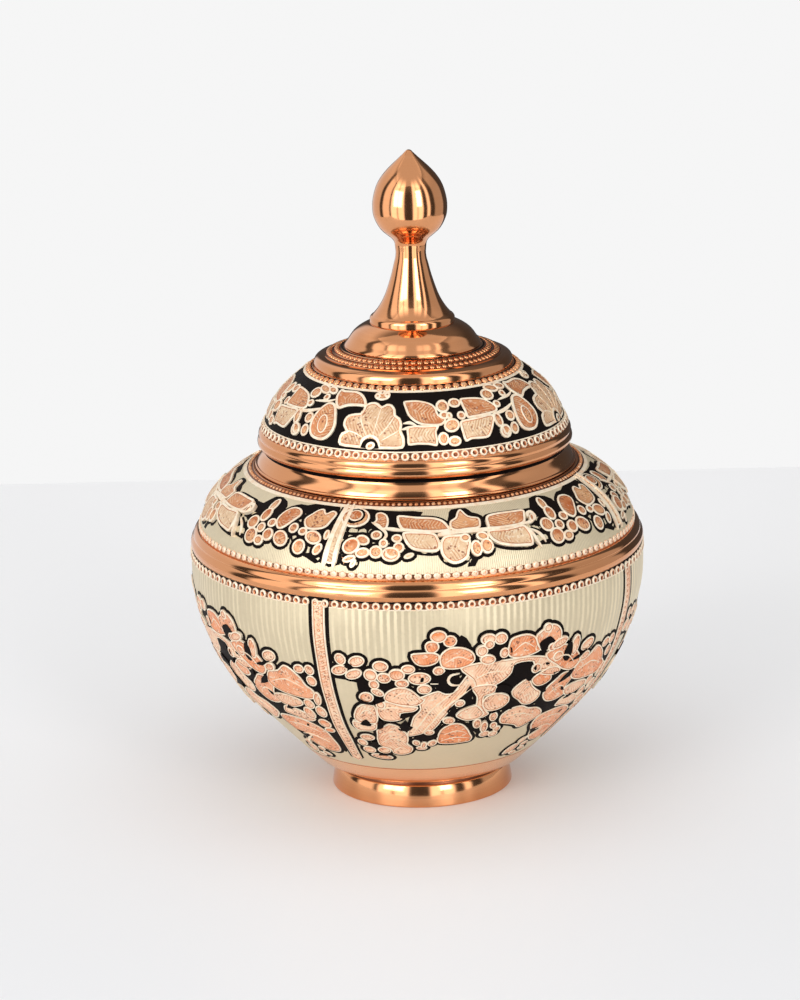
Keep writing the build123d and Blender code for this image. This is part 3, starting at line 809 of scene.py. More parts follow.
# trunk and the broad petals round it
each(
    bowl.form,
    (0.28, 0, (-4.5, 29), (-3.2, 36), (-2.2, 41), (-0.2, 45), (-1, 50), (0.8, 51.8), (4.5, 53.9),
     (6.6, 52.4), (8.6, 53), (10.4, 57), (13, 62.3), (16.5, 63.6), (18, 58), (15, 53.5), (11, 49.3),
     (8.8, 46.2), (8, 43.2), (6.3, 39.3), (5.2, 36), (3.4, 32.5), (1.2, 31), (-1, 29.6)),
    (0.3, 0, (-9.7, 49.6), (-9.2, 53.2), (-7, 55.5), (-4.5, 56), (-2.2, 54.6), (-0.2, 51.5), (1.2, 49.8),
     (-1, 47), (-5.5, 47.2)),
    (0.26, 0, (-12.2, 46.3), (-11, 48.9), (-9, 49.3), (-5, 47.4), (-0.8, 46.4), (-2, 44), (-5.6, 43),
     (-5.4, 40), (-8, 38.6), (-11, 39.2), (-12.2, 42)),
    (0.24, 0, (-19.6, 39.8), (-18, 45.3), (-15.2, 47.9), (-12.8, 47), (-12.2, 44), (-12.3, 40),
     (-13.2, 37.2), (-15.5, 37), (-18, 37)),
    (0.2, 0, (-20.3, 38), (-18, 37.6), (-15, 36.2), (-13.2, 37.5), (-13.2, 34.5), (-15, 32.6), (-19, 32.3),
     (-20.6, 34.6)),
    (0.38, 0, (-14.2, 29.5), (-13.8, 32.6), (-11.5, 35.2), (-9.5, 36.8), (-7, 35.6), (-5.5, 33), (-4.3, 30),
     (-4.2, 26), (-4.6, 23), (-3, 19.8), (-4.2, 16), (-8, 14.4), (-10.8, 15.8), (-11.2, 19), (-14.5, 21.2),
     (-14.8, 25.5)),
    (0.25, 0, (10, 63.5), (15, 65.3), (22, 65.2), (28, 65.2), (33, 63.8), (37.5, 61), (38.5, 57.5),
     (33.5, 57.5), (30.6, 57.8), (29.8, 62.2), (25, 62.7), (24, 59), (22.5, 56.5), (20.3, 54.6), (17, 53),
     (14.5, 54), (13.5, 58)),
    (0.3, 0, (13.3, 54.5), (17, 55.5), (20.2, 54.4), (20, 51), (17.3, 49.6), (17.5, 45.5), (18.6, 42.2),
     (19.8, 40), (17.4, 38.2), (14.8, 41), (15.2, 46), (15, 50)),
    (0.34, 0, (17, 47.5), (18.6, 50.2), (21.5, 50.6), (24.4, 48.6), (25, 45.2), (23, 42.3), (19.6, 41.6),
     (17.4, 44)),
    (0.3, 0, (9.8, 41.2), (11.5, 44), (15, 45.8), (16.9, 43.8), (18.2, 40.6), (16.6, 38.2), (13.5, 37.6),
     (11, 39.2)),
    (1.15, 100, (5, 25), (6.2, 22.4), (10, 21.7), (14.2, 22), (16.6, 22.6), (17, 25.4), (15.8, 28.4),
     (14.6, 31.6), (12.6, 35), (10, 36.2), (7.6, 35), (5.8, 32.2), (5.1, 28.5)),
    (0.24, 0, (25.1, 50), (26.2, 52.4), (28.8, 54.8), (30.4, 53.6), (31.6, 51), (33.4, 48.6), (35.2, 46.6),
     (35, 43.4), (32.8, 41.2), (30, 42), (28, 44.6), (26, 47)),
    (1, 0, (30.6, 54), (33, 56.6), (36.4, 55.4), (37.4, 52), (35, 50), (32.4, 50.6)),
    (0.45, 0, (32.6, 56.5), (35.5, 58.4), (38.6, 57.6), (39.6, 55.2), (37.4, 54.2), (34.6, 55)),
    (0.95, -50, (36, 66.3), (39, 67.2), (42.4, 64.6), (45, 61.4), (46.2, 57.6), (44, 54.4), (40.4, 55.6),
     (37.4, 58.6), (34.2, 62), (33.4, 64.8)),
    (0.8, 20, (36.4, 44.2), (36.8, 48), (39, 51), (41.4, 53.6), (45.4, 52.8), (46, 49), (44.6, 45),
     (46, 41.6), (42.6, 39.6), (38.8, 40.4)),
    (0.9, 30, (45.3, 54.6), (46.6, 57), (50, 58.3), (52.6, 61.2), (55, 60), (57.4, 56.6), (58.4, 53.6),
     (60.2, 51.4), (60.4, 48.4), (58, 46.4), (53.6, 46.6), (49, 47.4), (45.6, 49.4), (44.6, 52)),
    (0.35, 0, (44.6, 45.4), (49, 46.6), (54, 45.4), (54.6, 42.6), (50.4, 40.2), (46.6, 40.6), (44.8, 42.8)),
    (0.5, -30, (24.4, 38.4), (27, 41), (30.4, 41.2), (33, 39.2), (36.4, 38.2), (39, 35.8), (40, 32.8),
     (37.8, 30), (35, 27.4), (32.8, 27), (31, 29.2), (28, 31), (25, 32.6), (24, 35.5)),
    (0.85, -20, (39.4, 31.4), (44, 33.4), (50, 33.2), (54.4, 31), (57.4, 27.2), (57.9, 22), (58, 16.6),
     (56.4, 12), (52, 10.8), (47, 12.4), (43.4, 16.6), (41.4, 21.6), (39.2, 26)),
    (0.3, 0, (46, 39.4), (50, 39.6), (54, 37.8), (56.4, 34.6), (53, 32.6), (48, 34.4), (44.6, 35.4)),
)

# flower at the left end
each(
    bowl.oval,
    (0.2, -20.1, 67.2, 2.5, 2.2, 110), (0.16, -15.9, 66.7, 3.2, 2.3, 20), (0.3, -20.7, 62.5, 3.3, 2.2, 20),
    (0.28, -17, 61.3, 3.5, 2.1, 25),
)
bowl.slot(2, (-19.2, 64.2), (-18.1, 65.8), (-17, 64.6), (-17.6, 63.4))
each(
    bowl.oval,
    (0.22, -12, 57, 2, 2.2), (0.14, -11.3, 53.4, 2.6, 1.7, -30), (0.25, -12.6, 61.2, 2.6, 2.7),
    (0.2, -9.9, 65, 3, 2.4), (0.3, -9.2, 60.2, 2.7, 2.3), (0.26, -14.6, 50.6, 2.9, 2.6, 30),
    (0.22, -10.9, 47.6, 1.9, 2.2), (0.38, -4.7, 57.9, 2.6, 2), (0.24, -3, 63.9, 2.6, 2),
    (0.28, -5.9, 61.7, 3, 2.6), (0.24, -0.2, 59.8, 4.2, 2.8),
)
bowl.slot(2, (0, 58.4), (0.2, 60.2), (0.9, 60.3), (0.8, 58.6))
each(
    bowl.oval,
    (0.34, 1, 55, 2.7, 2.3), (0.26, 4.7, 62.9, 2.3, 2),
)

# tall flower and the round petal beside it
each(
    bowl.form,
    (1.05, -20, (-2.2, 70.2), (0.5, 70.8), (3.2, 70.8), (4.9, 69.4), (4.4, 66.6), (2.4, 65.2), (0, 65.2),
     (-1.6, 67)),
    (1, 0, (1.2, 73.6), (2.2, 75.3), (4.2, 75), (4.8, 72.6), (3.6, 70.6), (1.8, 70.9)),
)
each(
    bowl.oval,
    (0.75, 7.4, 74.9, 2.4, 2.6, 90), (0.75, 4.6, 77, 3.1, 2.4),
)
bowl.form(1, -30, (5, 65.6), (5, 69.6), (7.2, 72.4), (10.4, 72.3), (13, 70.2), (13.8, 67), (12.4, 64.6),
          (9.4, 63.4), (6.4, 63.8))
bowl.slot(2, (2.9, 60.5), (3, 57.6), (4.6, 54.4), (6.6, 52.6), (8.6, 53), (9.4, 56), (10.2, 58.4),
          (9.4, 61.4), (6.4, 62.6), (5.4, 61.4))
each(
    bowl.stroke,
    (1, (9.8, 61.4), (7.8, 60.8), (7.1, 58.6), (8, 56.6), (9.9, 56.2)),
    (0.9, (2.7, 57.5), (4.4, 57.4)),
)

# black openings of the left half
each(
    bowl.slot,
    (2, (-6, 40.7), (-5.1, 43.3), (-1.4, 43.8), (-3, 41.8), (-4.4, 40.6)),
    (2, (-7, 33.7), (-4.6, 38.9), (-3.7, 36), (-2.5, 34.8), (-4, 32.6), (-5.5, 32.6)),
    (2, (-13.4, 33.8), (-12.2, 38.9), (-11, 38.6), (-11.3, 35.2)),
    (2, (7.2, 43.1), (8.5, 46), (9.9, 44.5), (9.6, 41), (8.6, 40.2), (8.3, 42)),
    (2, (9.8, 48.6), (11.4, 51), (13, 55.6), (13.9, 52), (13.8, 48.6), (14.8, 48.2), (14.3, 46.2),
     (11.6, 45.8), (11.2, 47.8)),
    (2, (-18.2, 36.4), (-16, 39.3), (-14.8, 36), (-16, 35.6)),
    (2, (-2.6, 27), (0, 30.3), (2, 28.8), (4.9, 29.2), (5, 27.2), (3.2, 25.6), (1.8, 24.4), (-0.7, 25.6)),
    (2, (5.6, 38.2), (7, 38.4), (8.2, 35.8), (7, 35.2)),
    (1, (-16.8, 50.2), (-15.4, 48.6), (-12.4, 48.2), (-12, 50.6), (-9.8, 50.8), (-9.6, 49.6), (-13, 47.3),
     (-16.6, 47.8)),
)

# small petals low on the left
each(
    bowl.oval,
    (0.14, 2.4, 31.2, 1.8, 2, 90), (0.24, 0, 19.6, 2.1, 1.6), (0.22, -1.8, 23.6, 1.5, 2.2, 10),
    (0.24, 0.7, 22.2, 1.2, 2.6, -8), (0.2, 3.5, 23.5, 1.7, 2.4, -20), (0.16, -19.4, 17, 2.5, 2.6),
    (0.18, -20.6, 22.4, 2, 2.6), (0.22, -15.6, 12.2, 4.2, 1.9, -10), (0.36, -13.6, 17.4, 2.7, 2.5, 30),
    (0.22, -17.9, 26.7, 2.9, 2.4, 10),
)
each(
    bowl.slot,
    (1, (-18.7, 21.4), (-16.6, 23.4), (-14.9, 24.6), (-15.2, 22.6), (-13.8, 20.9), (-16.6, 20.2)),
    (1, (-16.8, 13.2), (-15.8, 15.4), (-13.6, 14.6), (-11.4, 16), (-10.9, 18.2), (-10.6, 15.2),
     (-13.2, 13.4)),
)
each(
    bowl.oval,
    (0.1, 10.6, 47.6, 2, 1.9), (0.14, 8, 38.3, 2.4, 2, -20),
)

# flowers along the top of the right half
bowl.form(1.1, 10, (22.3, 71.8), (23.4, 74), (27, 74.6), (29.6, 72.8), (30.6, 69.4), (31.6, 66.8),
          (28, 65.2), (24, 65.4), (22.2, 67.4))
each(
    bowl.slot,
    (1, (22.7, 70.4), (23.2, 69.9), (23.5, 67.9), (23.1, 67.9)),
    (2, (15.6, 68.5), (17, 71.6), (19, 73), (21.8, 72.6), (21.8, 69), (21.4, 65.8), (18.6, 64.8),
     (16.6, 66)),
)
each(
    bowl.oval,
    (0.22, 20.1, 74.3, 2.6, 2.4), (0.2, 16.9, 74.6, 3, 2.2), (0.34, 17.1, 72.6, 2, 1.9),
    (0.22, 15.3, 70.3, 2.3, 2.4), (0.18, 16.9, 66.6, 3, 2.1, -10), (0.18, 21.3, 68.3, 1.9, 2.2),
)
bowl.form(0.8, 0, (29.6, 72.4), (31.4, 75), (34, 76.6), (36.4, 75.2), (37.6, 71.6), (36.6, 67.4), (34, 66),
          (31.4, 66.8))
bowl.slot(2, (30.9, 69.8), (32.4, 71.3), (34, 71.8), (35.6, 69.6), (36.6, 68.5), (34.6, 68.3), (33.2, 66),
          (31.8, 66.2))
each(
    bowl.oval,
    (0.16, 33, 75.4, 2, 1.9), (0.5, 34.9, 67.2, 2, 1.8),
)
bowl.slot(2, (24.3, 62.4), (29.6, 62.6), (29, 60.4), (29.6, 58), (30.8, 56.5), (29.9, 53.6), (28.4, 55.3),
          (26.6, 55.6), (24.8, 57.6))
bowl.oval(0.22, 31.2, 59.2, 2.2, 2.2)
each(
    bowl.slot,
    (1, (30.3, 59.5), (31, 60.6), (31.3, 58.6), (30.8, 58.3)),
    (1, (33.8, 60.6), (34.6, 60.7), (35.4, 59.8), (34.3, 59.5)),
    (2, (20.4, 50.9), (20.2, 53), (21.3, 54.4), (23, 53.8), (25, 52.1), (24.6, 49.9), (22.6, 50.9)),
    (2, (24.7, 49.8), (26, 47), (28, 44.7), (28, 43.2), (26.6, 43.2), (26.6, 40.9), (24.2, 41.6),
     (20.5, 40.2), (22.8, 42.3), (25, 45.2)),
    (1, (37.4, 55.3), (40, 55.4), (39.4, 52.4), (38, 52.2)),
    (1, (42.6, 46.6), (43.6, 46), (44.6, 44.2), (43.2, 44.6)),
    (1, (35.4, 48.4), (36.6, 48), (37, 46.4), (35.9, 45.9)),
)

# petals at the far right
each(
    bowl.oval,
    (0.22, 37.2, 68.3, 3.8, 2, 20), (0.35, 37.4, 62.6, 2.4, 2.2), (0.18, 42.9, 65.3, 2.2, 4.4, -6),
    (0.2, 48.2, 63.6, 3.6, 2.5, 20),
)
bowl.slot(2, (39.3, 61), (40, 66.6), (41.6, 66.8), (42, 62.2), (41, 59.4))
bowl.oval(0.42, 47.8, 59, 2.6, 1.9, 20)
bowl.slot(1, (42, 58.6), (44.2, 60), (48.2, 61.6), (45.4, 58.9))
each(
    bowl.oval,
    (0.3, 57.4, 60.6, 2.5, 2, 20), (0.24, 60.6, 60.8, 2.1, 2.3), (0.3, 60.5, 55.9, 2.2, 2.5),
)
bowl.slot(1, (40.8, 49), (42, 51.6), (44, 54), (45.4, 54.2), (44.6, 51), (42.6, 49.6))
each(
    bowl.oval,
    (0.16, 60.6, 47.4, 1.7, 3.6, -10), (0.22, 56.9, 43.6, 2.4, 2.6), (0.16, 60, 40.2, 2.4, 3.2),
    (0.18, 55.5, 38.4, 2.4, 3.3, 10), (0.55, 59, 33, 2.7, 2.7, 20), (0.9, 59.4, 28.9, 2.3, 1.7, 10),
)
each(
    bowl.slot,
    (1, (46.8, 38.6), (48.4, 40.8), (50.4, 39.9), (49, 38.6)),
    (1, (50.3, 28.8), (51, 30.4), (51.8, 30.2), (51.2, 28.8)),
    (1, (41, 22.4), (45.6, 21.8), (47.2, 19), (43.4, 17.4), (42.6, 19.2)),
)
bowl.stroke(1.1, (42.4, 15.2), (44.6, 18), (47.6, 20.6))

# berries low in the middle
each(
    bowl.oval,
    (0.22, 16.8, 35.2, 1.7, 3, 10), (0.24, 19.4, 32.6, 1.5, 3.6, 6), (0.2, 21.7, 37.6, 1.7, 2.8, 10),
    (0.28, 22.9, 31.8, 1.5, 2.4, 20), (0.2, 24.6, 29.3, 1.5, 1.9), (0.22, 20.9, 26.6, 2.1, 2.1),
    (0.18, 24, 26, 1.9, 2),
)
each(
    bowl.field,
    (2, (14, 36), (16, 32), (20, 36), (24, 34), (25, 30), (21, 24), (17, 29), (14, 32)),
    (2, (20, 54), (24, 62), (30, 62), (42, 50), (40, 42), (24, 40)),
    (2, (-22.4, 61), (-22.4, 58.6), (-16.6, 57.4), (-16.6, 50), (-12, 50), (-6, 57), (-4, 62), (-14, 64)),
    (2, (0, 71), (8, 74), (10.2, 77), (12.6, 73), (14, 66), (16, 64), (10, 60), (2, 62)),
    (2, (40, 42), (48, 40), (61, 40), (62, 60), (58, 62), (46, 56)),
    (2, (40, 42), (34, 42), (38, 37), (42, 33), (50, 32), (58, 26), (62, 20), (62, 32), (54, 40), (46, 42)),
    (2, (57.5, 26), (60.6, 25), (62, 18), (59, 12), (57, 16)),
)

# fine lines that part the broad petals
each(
    bowl.stroke,
    (0.5, (-2.6, 31), (0.2, 38), (2.6, 44), (6, 49.5), (10.4, 55)),
    (0.5, (0.6, 32.2), (3.2, 38), (5.6, 43.5), (9, 48.8), (13, 54)),
    (0.5, (-7.6, 50.4), (-4.4, 53.6), (-0.6, 51)),
    (0.5, (-10.6, 45.4), (-7.6, 46.4), (-3.4, 45)),
    (0.5, (-17.6, 41.6), (-15.2, 44.6), (-13.4, 42.2)),
    (0.5, (-12.6, 29), (-9.2, 32.2), (-6.4, 30)),
    (0.5, (-13, 24), (-9.2, 27.4), (-5.8, 25)),
    (0.5, (-10, 17.6), (-7.4, 20.4), (-5, 18.4)),
    (0.5, (6.8, 24.8), (11, 26.6), (15.2, 25.4)),
    (0.5, (7.6, 29.4), (10.8, 31.2), (13.8, 29.8)),
    (0.5, (6.4, 66.4), (9.4, 68.6), (12.4, 66.8)),
    (0.5, (24, 68.4), (26.6, 71.2), (29.2, 69)),
    (0.5, (14.4, 58.4), (17.6, 60.6), (22, 60.4)),
    (0.5, (37.6, 62.4), (40.8, 62), (43.6, 58)),
    (0.5, (47, 52.4), (52, 54.8), (57, 52.2)),
    (0.5, (38.8, 44.6), (41.6, 47.2), (44, 46)),
    (0.5, (26.4, 36.4), (31, 36.8), (36, 33.8)),
    (0.5, (42.4, 28), (48, 28.8), (54, 26)),
    (0.5, (44.4, 21.4), (49, 22.2), (54.4, 19)),
)

# small spray low on the right
bowl.form(0.3, 60, (36.2, 6.2), (36.8, 9.8), (39.4, 12.4), (42.2, 11.6), (42, 8.6), (39.6, 6.2))
each(
    bowl.oval,
    (0.18, 45.6, 10.6, 2, 1.5, 20), (0.22, 41.6, 14.6, 2.1, 1.4, 60), (0.16, 46.4, 7.2, 2.2, 1.3, -20),
    (0.2, 42.2, 5.8, 2, 1.2, -10),
)
bowl.finish("bowl", "box")


shoulder = Ornament(shoulder_wall, first_lift=0.12, rim=0.75, halo=1.2)
each(
    shoulder.field,
    (2, (-20.8, 14), (-20.2, 27.5), (-12, 27.5), (-5.4, 27.2), (2, 26.6), (-2, 20), (-6, 15), (-12, 13)),
    (1, (-21.2, 4.9), (-20.6, 12), (-16, 12), (-17.4, 6), (-18.4, 4.8)),
    (2, (9.6, 24), (10.9, 27.2), (15.6, 27.3), (17, 25), (19.8, 22.8), (19.4, 17), (14, 16), (9, 19)),
    (1, (12.6, 3.3), (14.6, 3.3), (15.6, 5.4), (15.2, 8), (13.6, 7)),
    (2, (31.6, 22.6), (36.2, 22.8), (38.5, 27.2), (43, 27.4), (46.4, 24.4), (46, 17), (40, 14),
     (34.4, 14.8)),
    (1, (33, 15), (37.4, 11.6), (37, 7), (33.4, 7.6), (31.2, 6.2), (31, 12)),
    (2, (49, 25.6), (53.4, 26.6), (57, 28.4), (62.4, 28.6), (65.4, 27), (65.4, 5), (60, 5.6), (56, 8),
     (52, 16)),
    (2, (-16, 16), (-6, 18), (-3, 12), (-7, 7), (-14, 8)),
    (2, (12, 12), (18, 16), (20.4, 12), (18, 8), (13, 8)),
    (2, (36, 16), (48, 18), (52, 12), (46, 8), (38, 8)),
)

shoulder.form(0.2, 90, (-24.9, 4.6), (-24.2, 16), (-23.4, 28), (-21.7, 28.2), (-20, 28), (-20.4, 16),
              (-21, 4.6), (-23, 4.2), cuts=1, finish=PALE)
shoulder.oval(0.05, -18.6, 23.3, 5.4, 4.6, halo=0)
shoulder.slot(2, (-20.3, 20.8), (-20.3, 26.8), (-17, 27), (-15.7, 24.6), (-16.2, 22), (-18.2, 20.6))
shoulder.oval(0.85, -18.6, 24, 2.7, 2.6, rim=0.5, halo=0)
each(
    shoulder.stroke,
    (1.7, (-24.4, 4.4), (-23.6, 16), (-22.7, 28.2)),
    (1.3, (-21.7, 4.4), (-21.1, 16), (-20.6, 28.2)),
    taper=1,
)
shoulder.form(0.8, 90, (-12.6, 25.4), (-11, 26.4), (-9, 25), (-8.2, 22), (-8.5, 19), (-9.6, 18),
              (-11.2, 20), (-12.8, 21.2), (-12.2, 22.6))
each(
    shoulder.stroke,
    (1.1, (-13, 21.2), (-10.6, 19.2), (-8.9, 17.4), (-8.5, 15.4), (-9.6, 13.8)),
    (1.5, (-9.4, 18.8), (-6.6, 18.4), (-3.6, 17.8)),
)
shoulder.form(0.85, -10, (-5.9, 22.4), (-5.4, 24.7), (0, 23.9), (4.6, 23.4), (7.4, 22), (8.9, 19.4),
              (9.2, 17), (4, 16.6), (-1, 17.3), (-4, 17.9), (-5.2, 19.8), rim=1)
shoulder.form(0.25, 0, (-3.9, 16.9), (0, 17.2), (4.6, 16.4), (5.8, 14), (6.1, 11), (4.8, 9.2), (1, 9.5),
              (-1.6, 10.6), (-3.3, 13.4), rim=0.95, finish=PALE)
shoulder.form(0.42, 90, (9.3, 18), (9.6, 21), (11.4, 22.6), (12.3, 25), (13.7, 26.3), (15.4, 22.9),
              (18.3, 21.6), (18.4, 19), (17.4, 17), (14, 16.8), (11, 16.6))
shoulder.form(0.35, 0, (6.1, 12.6), (6, 9), (7, 6.3), (9, 4.6), (11.2, 5), (13, 6.7), (13.6, 9),
              (14.3, 11.6), (13.6, 14.6), (11, 15.2), (7.6, 15), rim=0.95, finish=PALE)
shoulder.stroke(1.6, (6, 15.4), (10, 16.2), (15, 16.2), (20.6, 16), taper=0.8)
each(
    shoulder.oval,
    (0.05, 17.7, 13.6, 2.4, 1.8, -20), (0.05, 12.9, 13.6, 2, 1.8), (0.05, 18.3, 9.9, 2.5, 2.8),
    (0.05, 15.4, 9.4, 2.2, 2.9), (0.6, -11.2, 16, 2.1, 1.9), (0.3, -9, 12.7, 1.7, 1.8),
    (0.05, -5.5, 14.8, 2, 1.7), (0.28, -4.9, 11.2, 2.1, 2.1), (0.12, -6.9, 8.7, 3.4, 2.7),
)
shoulder.stroke(0.9, (-8.2, 10), (-7.8, 8.4), (-6.6, 7.6), (-5.4, 8.2))
each(
    shoulder.oval,
    (0.25, -10.8, 9.4, 2.5, 2.4), (0.3, -14.3, 8.9, 2.7, 1.9, 10), (0.65, -14.8, 13.8, 2.7, 2, -20),
    (0.75, -17.6, 11.2, 3.4, 2.9, 40), (0.05, -17.8, 6.6, 2.6, 1.3, 20), (0.05, -16.6, 5, 1.8, 1, 60),
    (0.05, -2.2, 8.2, 2, 1, 20),
)

shoulder.form(0.75, 90, (19.9, 17.6), (20.5, 21.4), (23.6, 22.4), (29, 22.3), (33, 21.8), (32.3, 18.6),
              (30.9, 16.2), (27, 15.6), (20.6, 15.9), rim=0.9)
shoulder.form(0.25, 0, (19.6, 15.6), (19.7, 12.4), (21.4, 10.2), (25, 8.6), (29, 7.9), (31.2, 7.9),
              (31.7, 11), (31.2, 14), (30, 15.8), (25, 15.4), rim=0.9, finish=PALE)
shoulder.stroke(1.3, (30, 16), (33.2, 16.4), (35.2, 18.2), (34.7, 20.2), (33.4, 19.8), (33, 18.4))
shoulder.oval(0.55, 33.9, 17.7, 1.6, 0.9, 70, rim=0.4)
each(
    shoulder.stroke,
    (1.1, (30.6, 15.2), (32, 12), (32.6, 9.2), (33.4, 6.8)),
    (1.2, (32.2, 14.2), (34.2, 12.2), (35.2, 10.2), (35.6, 8.2)),
)
each(
    shoulder.oval,
    (0.12, 41.4, 23.3, 1.8, 3.4, -4), (0.75, 41.5, 18.6, 2.3, 3.3, -6), (0.55, 38.3, 14.4, 2.9, 2.9),
    (0.1, 42.4, 13.2, 2.1, 2.1), (0.5, 40, 9.4, 3.2, 3.1), (0.95, 45.4, 16, 2.1, 1.9),
    (0.08, 43.6, 8.4, 2.4, 2), (0.65, 46.2, 11.2, 2.5, 2.5),
)
shoulder.form(0.95, 80, (46.4, 17.6), (47.2, 21.8), (49.4, 24.4), (52.4, 24.2), (53.8, 21.6), (52.2, 18),
              (50.2, 14.8), (48.2, 14.3))
each(
    shoulder.oval,
    (0.5, 50.7, 10.9, 3.6, 2.9, -30), (0.55, 53.6, 15.7, 2.1, 2.2),
)
shoulder.form(0.28, 70, (55.6, 20), (57, 23), (58.6, 25.4), (60.4, 25.8), (61.6, 24), (63.4, 25.6),
              (65.2, 24.4), (64.6, 21), (63.4, 17.6), (60.4, 16.2), (57.4, 16.4))
each(
    shoulder.oval,
    (0.1, 60.8, 13.2, 3.6, 2.6, -20), (0.55, 57, 14.9, 1.9, 1.7), (0.35, 57.3, 9, 2.7, 2.9),
    (0.05, 63, 9, 1.7, 2.5, -30), (0.2, 64.6, 14.8, 1.2, 2.1),
)
shoulder.finish("shoulder", "box")


lid = Ornament(dome_wall, first_lift=0.12, rim=0.8)
lid.form(0.4, 0, (-22.6, 21), (-21, 22.2), (-18.6, 22.7), (-16.4, 22.2), (-14.6, 21), (-12.6, 22.1),
         (-10, 21.8), (-8.2, 19.6), (-7.8, 17.4), (-6, 16.2), (-4.9, 13.6), (-5.2, 11.4), (-4.2, 9.4),
         (-3.8, 7.2), (-4.6, 4.7), (-10, 4.4), (-17, 4.3), (-24, 4.4), (-29.4, 4.7), (-30.4, 7),
         (-29.6, 9.4), (-28, 10.2), (-29.6, 12), (-29.9, 14.4), (-28.6, 16.4), (-25.6, 17.3), (-23.6, 17.6),
         (-22.8, 19.2), cuts=2, rim=1, finish=PALE)
lid.slot(2, (-20.6, 4.5), (-20, 6.6), (-18.4, 7.9), (-16, 7.9), (-14.4, 6.6), (-13.6, 4.5))
lid.oval(0.2, -16.9, 5.4, 1.8, 1.4, 30)
each(
    lid.stroke,
    (0.5, (-20.6, 8.4), (-24, 9.8), (-27.6, 10.4)),
    (0.5, (-19.4, 9.6), (-22, 14), (-23.2, 18)),
    (0.5, (-16.2, 10), (-15.4, 15), (-14.7, 20)),
    (0.5, (-13.6, 9.4), (-10.6, 13), (-8.2, 16.8)),
    (0.5, (-12.6, 7.6), (-9, 9.6), (-5.6, 11.6)),
    (1, (-20.9, 4.6), (-20.2, 7.4), (-17.4, 9), (-14.4, 7.8), (-13.2, 4.6)),
)
each(
    lid.oval,
    (0.3, -15.6, 25.7, 2.9, 2.1), (0.1, -17.8, 25.4, 1.2, 1.2), (0.1, -13.2, 26.2, 1.2, 1.2),
    (0.1, -15.8, 27.2, 1.3, 1),
)
lid.form(0.85, -15, (-5, 22.6), (-4.2, 23.5), (1, 23.7), (5, 23), (8, 21.8), (9.6, 20), (10.4, 17),
         (13.2, 15), (11, 12.8), (7, 12.7), (3, 13.2), (0, 14.6), (-2.6, 17), (-4, 20))
each(
    lid.stroke,
    (1.2, (-4.4, 13.9), (-2, 14.2), (0.6, 13.2)),
    (1.2, (-5, 11.6), (-2.6, 12.2), (0, 12.8)),
)
lid.form(0.22, 0, (-3, 12.2), (-2.9, 9), (-2.5, 5.9), (1, 6), (5, 5.8), (8.3, 5.3), (8.7, 8), (8.5, 10.4),
         (9.6, 12.8), (4, 12.9), (0, 13.1), finish=PALE)
lid.oval(0.1, 12.6, 20.5, 2.5, 2.8)
lid.stroke(0.9, (10.6, 21.2), (11.6, 22.6), (13.6, 22.8), (15, 21.8))
each(
    lid.oval,
    (0.4, 18.5, 21.6, 2.4, 2.1), (0.7, 12.5, 16.6, 1.8, 1.7), (0.05, 14.6, 16.2, 1.2, 1.5),
    (0.05, 14.9, 12.4, 3, 2.6, 20), (0.28, 11, 7.8, 2.1, 2.5), (0.12, 15.2, 6.6, 2.5, 2),
    (0.75, 19.9, 16, 1.7, 1.8),
)
lid.form(0.72, 60, (21.8, 17.6), (21.4, 20.4), (21.6, 22.9), (24, 23.2), (29, 22.8), (33, 21.8), (35.6, 20),
         (37.6, 17.4), (36.4, 15.4), (31, 14.8), (26, 14.6), (22.2, 14.7))
lid.form(0.22, 0, (18.5, 13.4), (18.6, 9.4), (19.4, 6), (22, 6.6), (25.4, 6.4), (29, 6.5), (31, 8.4),
         (32.6, 10.8), (34, 13.4), (32.6, 14.9), (27, 14.5), (22, 14.2), finish=PALE)
lid.stroke(1.3, (34, 14.6), (38, 15), (42, 15.8), (46.6, 17.4))
each(
    lid.oval,
    (0.3, 36.6, 23.2, 2.7, 2.6), (0.2, 38.4, 18.4, 1.6, 1.6), (0.25, 41, 25.6, 3.2, 1.9, -20),
    (0.2, 46.6, 25.7, 2.4, 1.7, -20), (0.7, 45.4, 22.4, 1.5, 1.6),
)
lid.stroke(1, (40.4, 19.9), (44, 20.4), (48.2, 20.9), (51.6, 22.2))
each(
    lid.oval,
    (0.18, 35.4, 12.2, 1.8, 3, 8), (0.15, 37.2, 7.6, 2.4, 2.6),
)
lid.stroke(0.9, (36.2, 9), (36.4, 7), (37.8, 6.4), (38.6, 7.6))
each(
    lid.oval,
    (0.1, 42.2, 12.9, 2.1, 2.2, -20), (0.08, 42.2, 8.1, 2, 2.4, -10),
)
each(
    lid.form,
    (0.85, -5, (50.6, 23.4), (51, 26.8), (54, 26.5), (60, 26.8), (64.4, 25.6), (67.4, 23), (68, 20.4),
     (63.6, 20.3), (59, 19.7), (55.4, 18.2), (53, 19.6)),
    (0.82, 80, (48.2, 19.7), (46, 17), (44.7, 13.6), (44.6, 10), (46, 7), (49, 5.6), (53, 5.7), (56, 8),
     (57.2, 11.4), (56.2, 15), (54.6, 18), (52.6, 20), (50.2, 20.4)),
    rim=1,
)
lid.oval(0.3, 50.8, 11.6, 2.2, 3.6, 6, rim=0.5)
lid.finish("lid", "lid")


# ---------------------------------------------------------------- rows of pearls


def pearl_row(name, wall, rise, count, radius, rings, middle, lift, tone, body, sides=8, squash=1.0):
    """A ring of punched pearls round a wall. Rings are (inset, lift, finish). A pearl's edge is at lift."""
    row = Ornament(wall)
    row.lay(row.relief, (0, rise), ellipse(squash * radius, radius, sides), rings, lift, middle, tone)
    row.ground.free()
    repeat_round(row.relief, count)
    piece_from(row.relief, name, plate_finishes, body, crease=60)


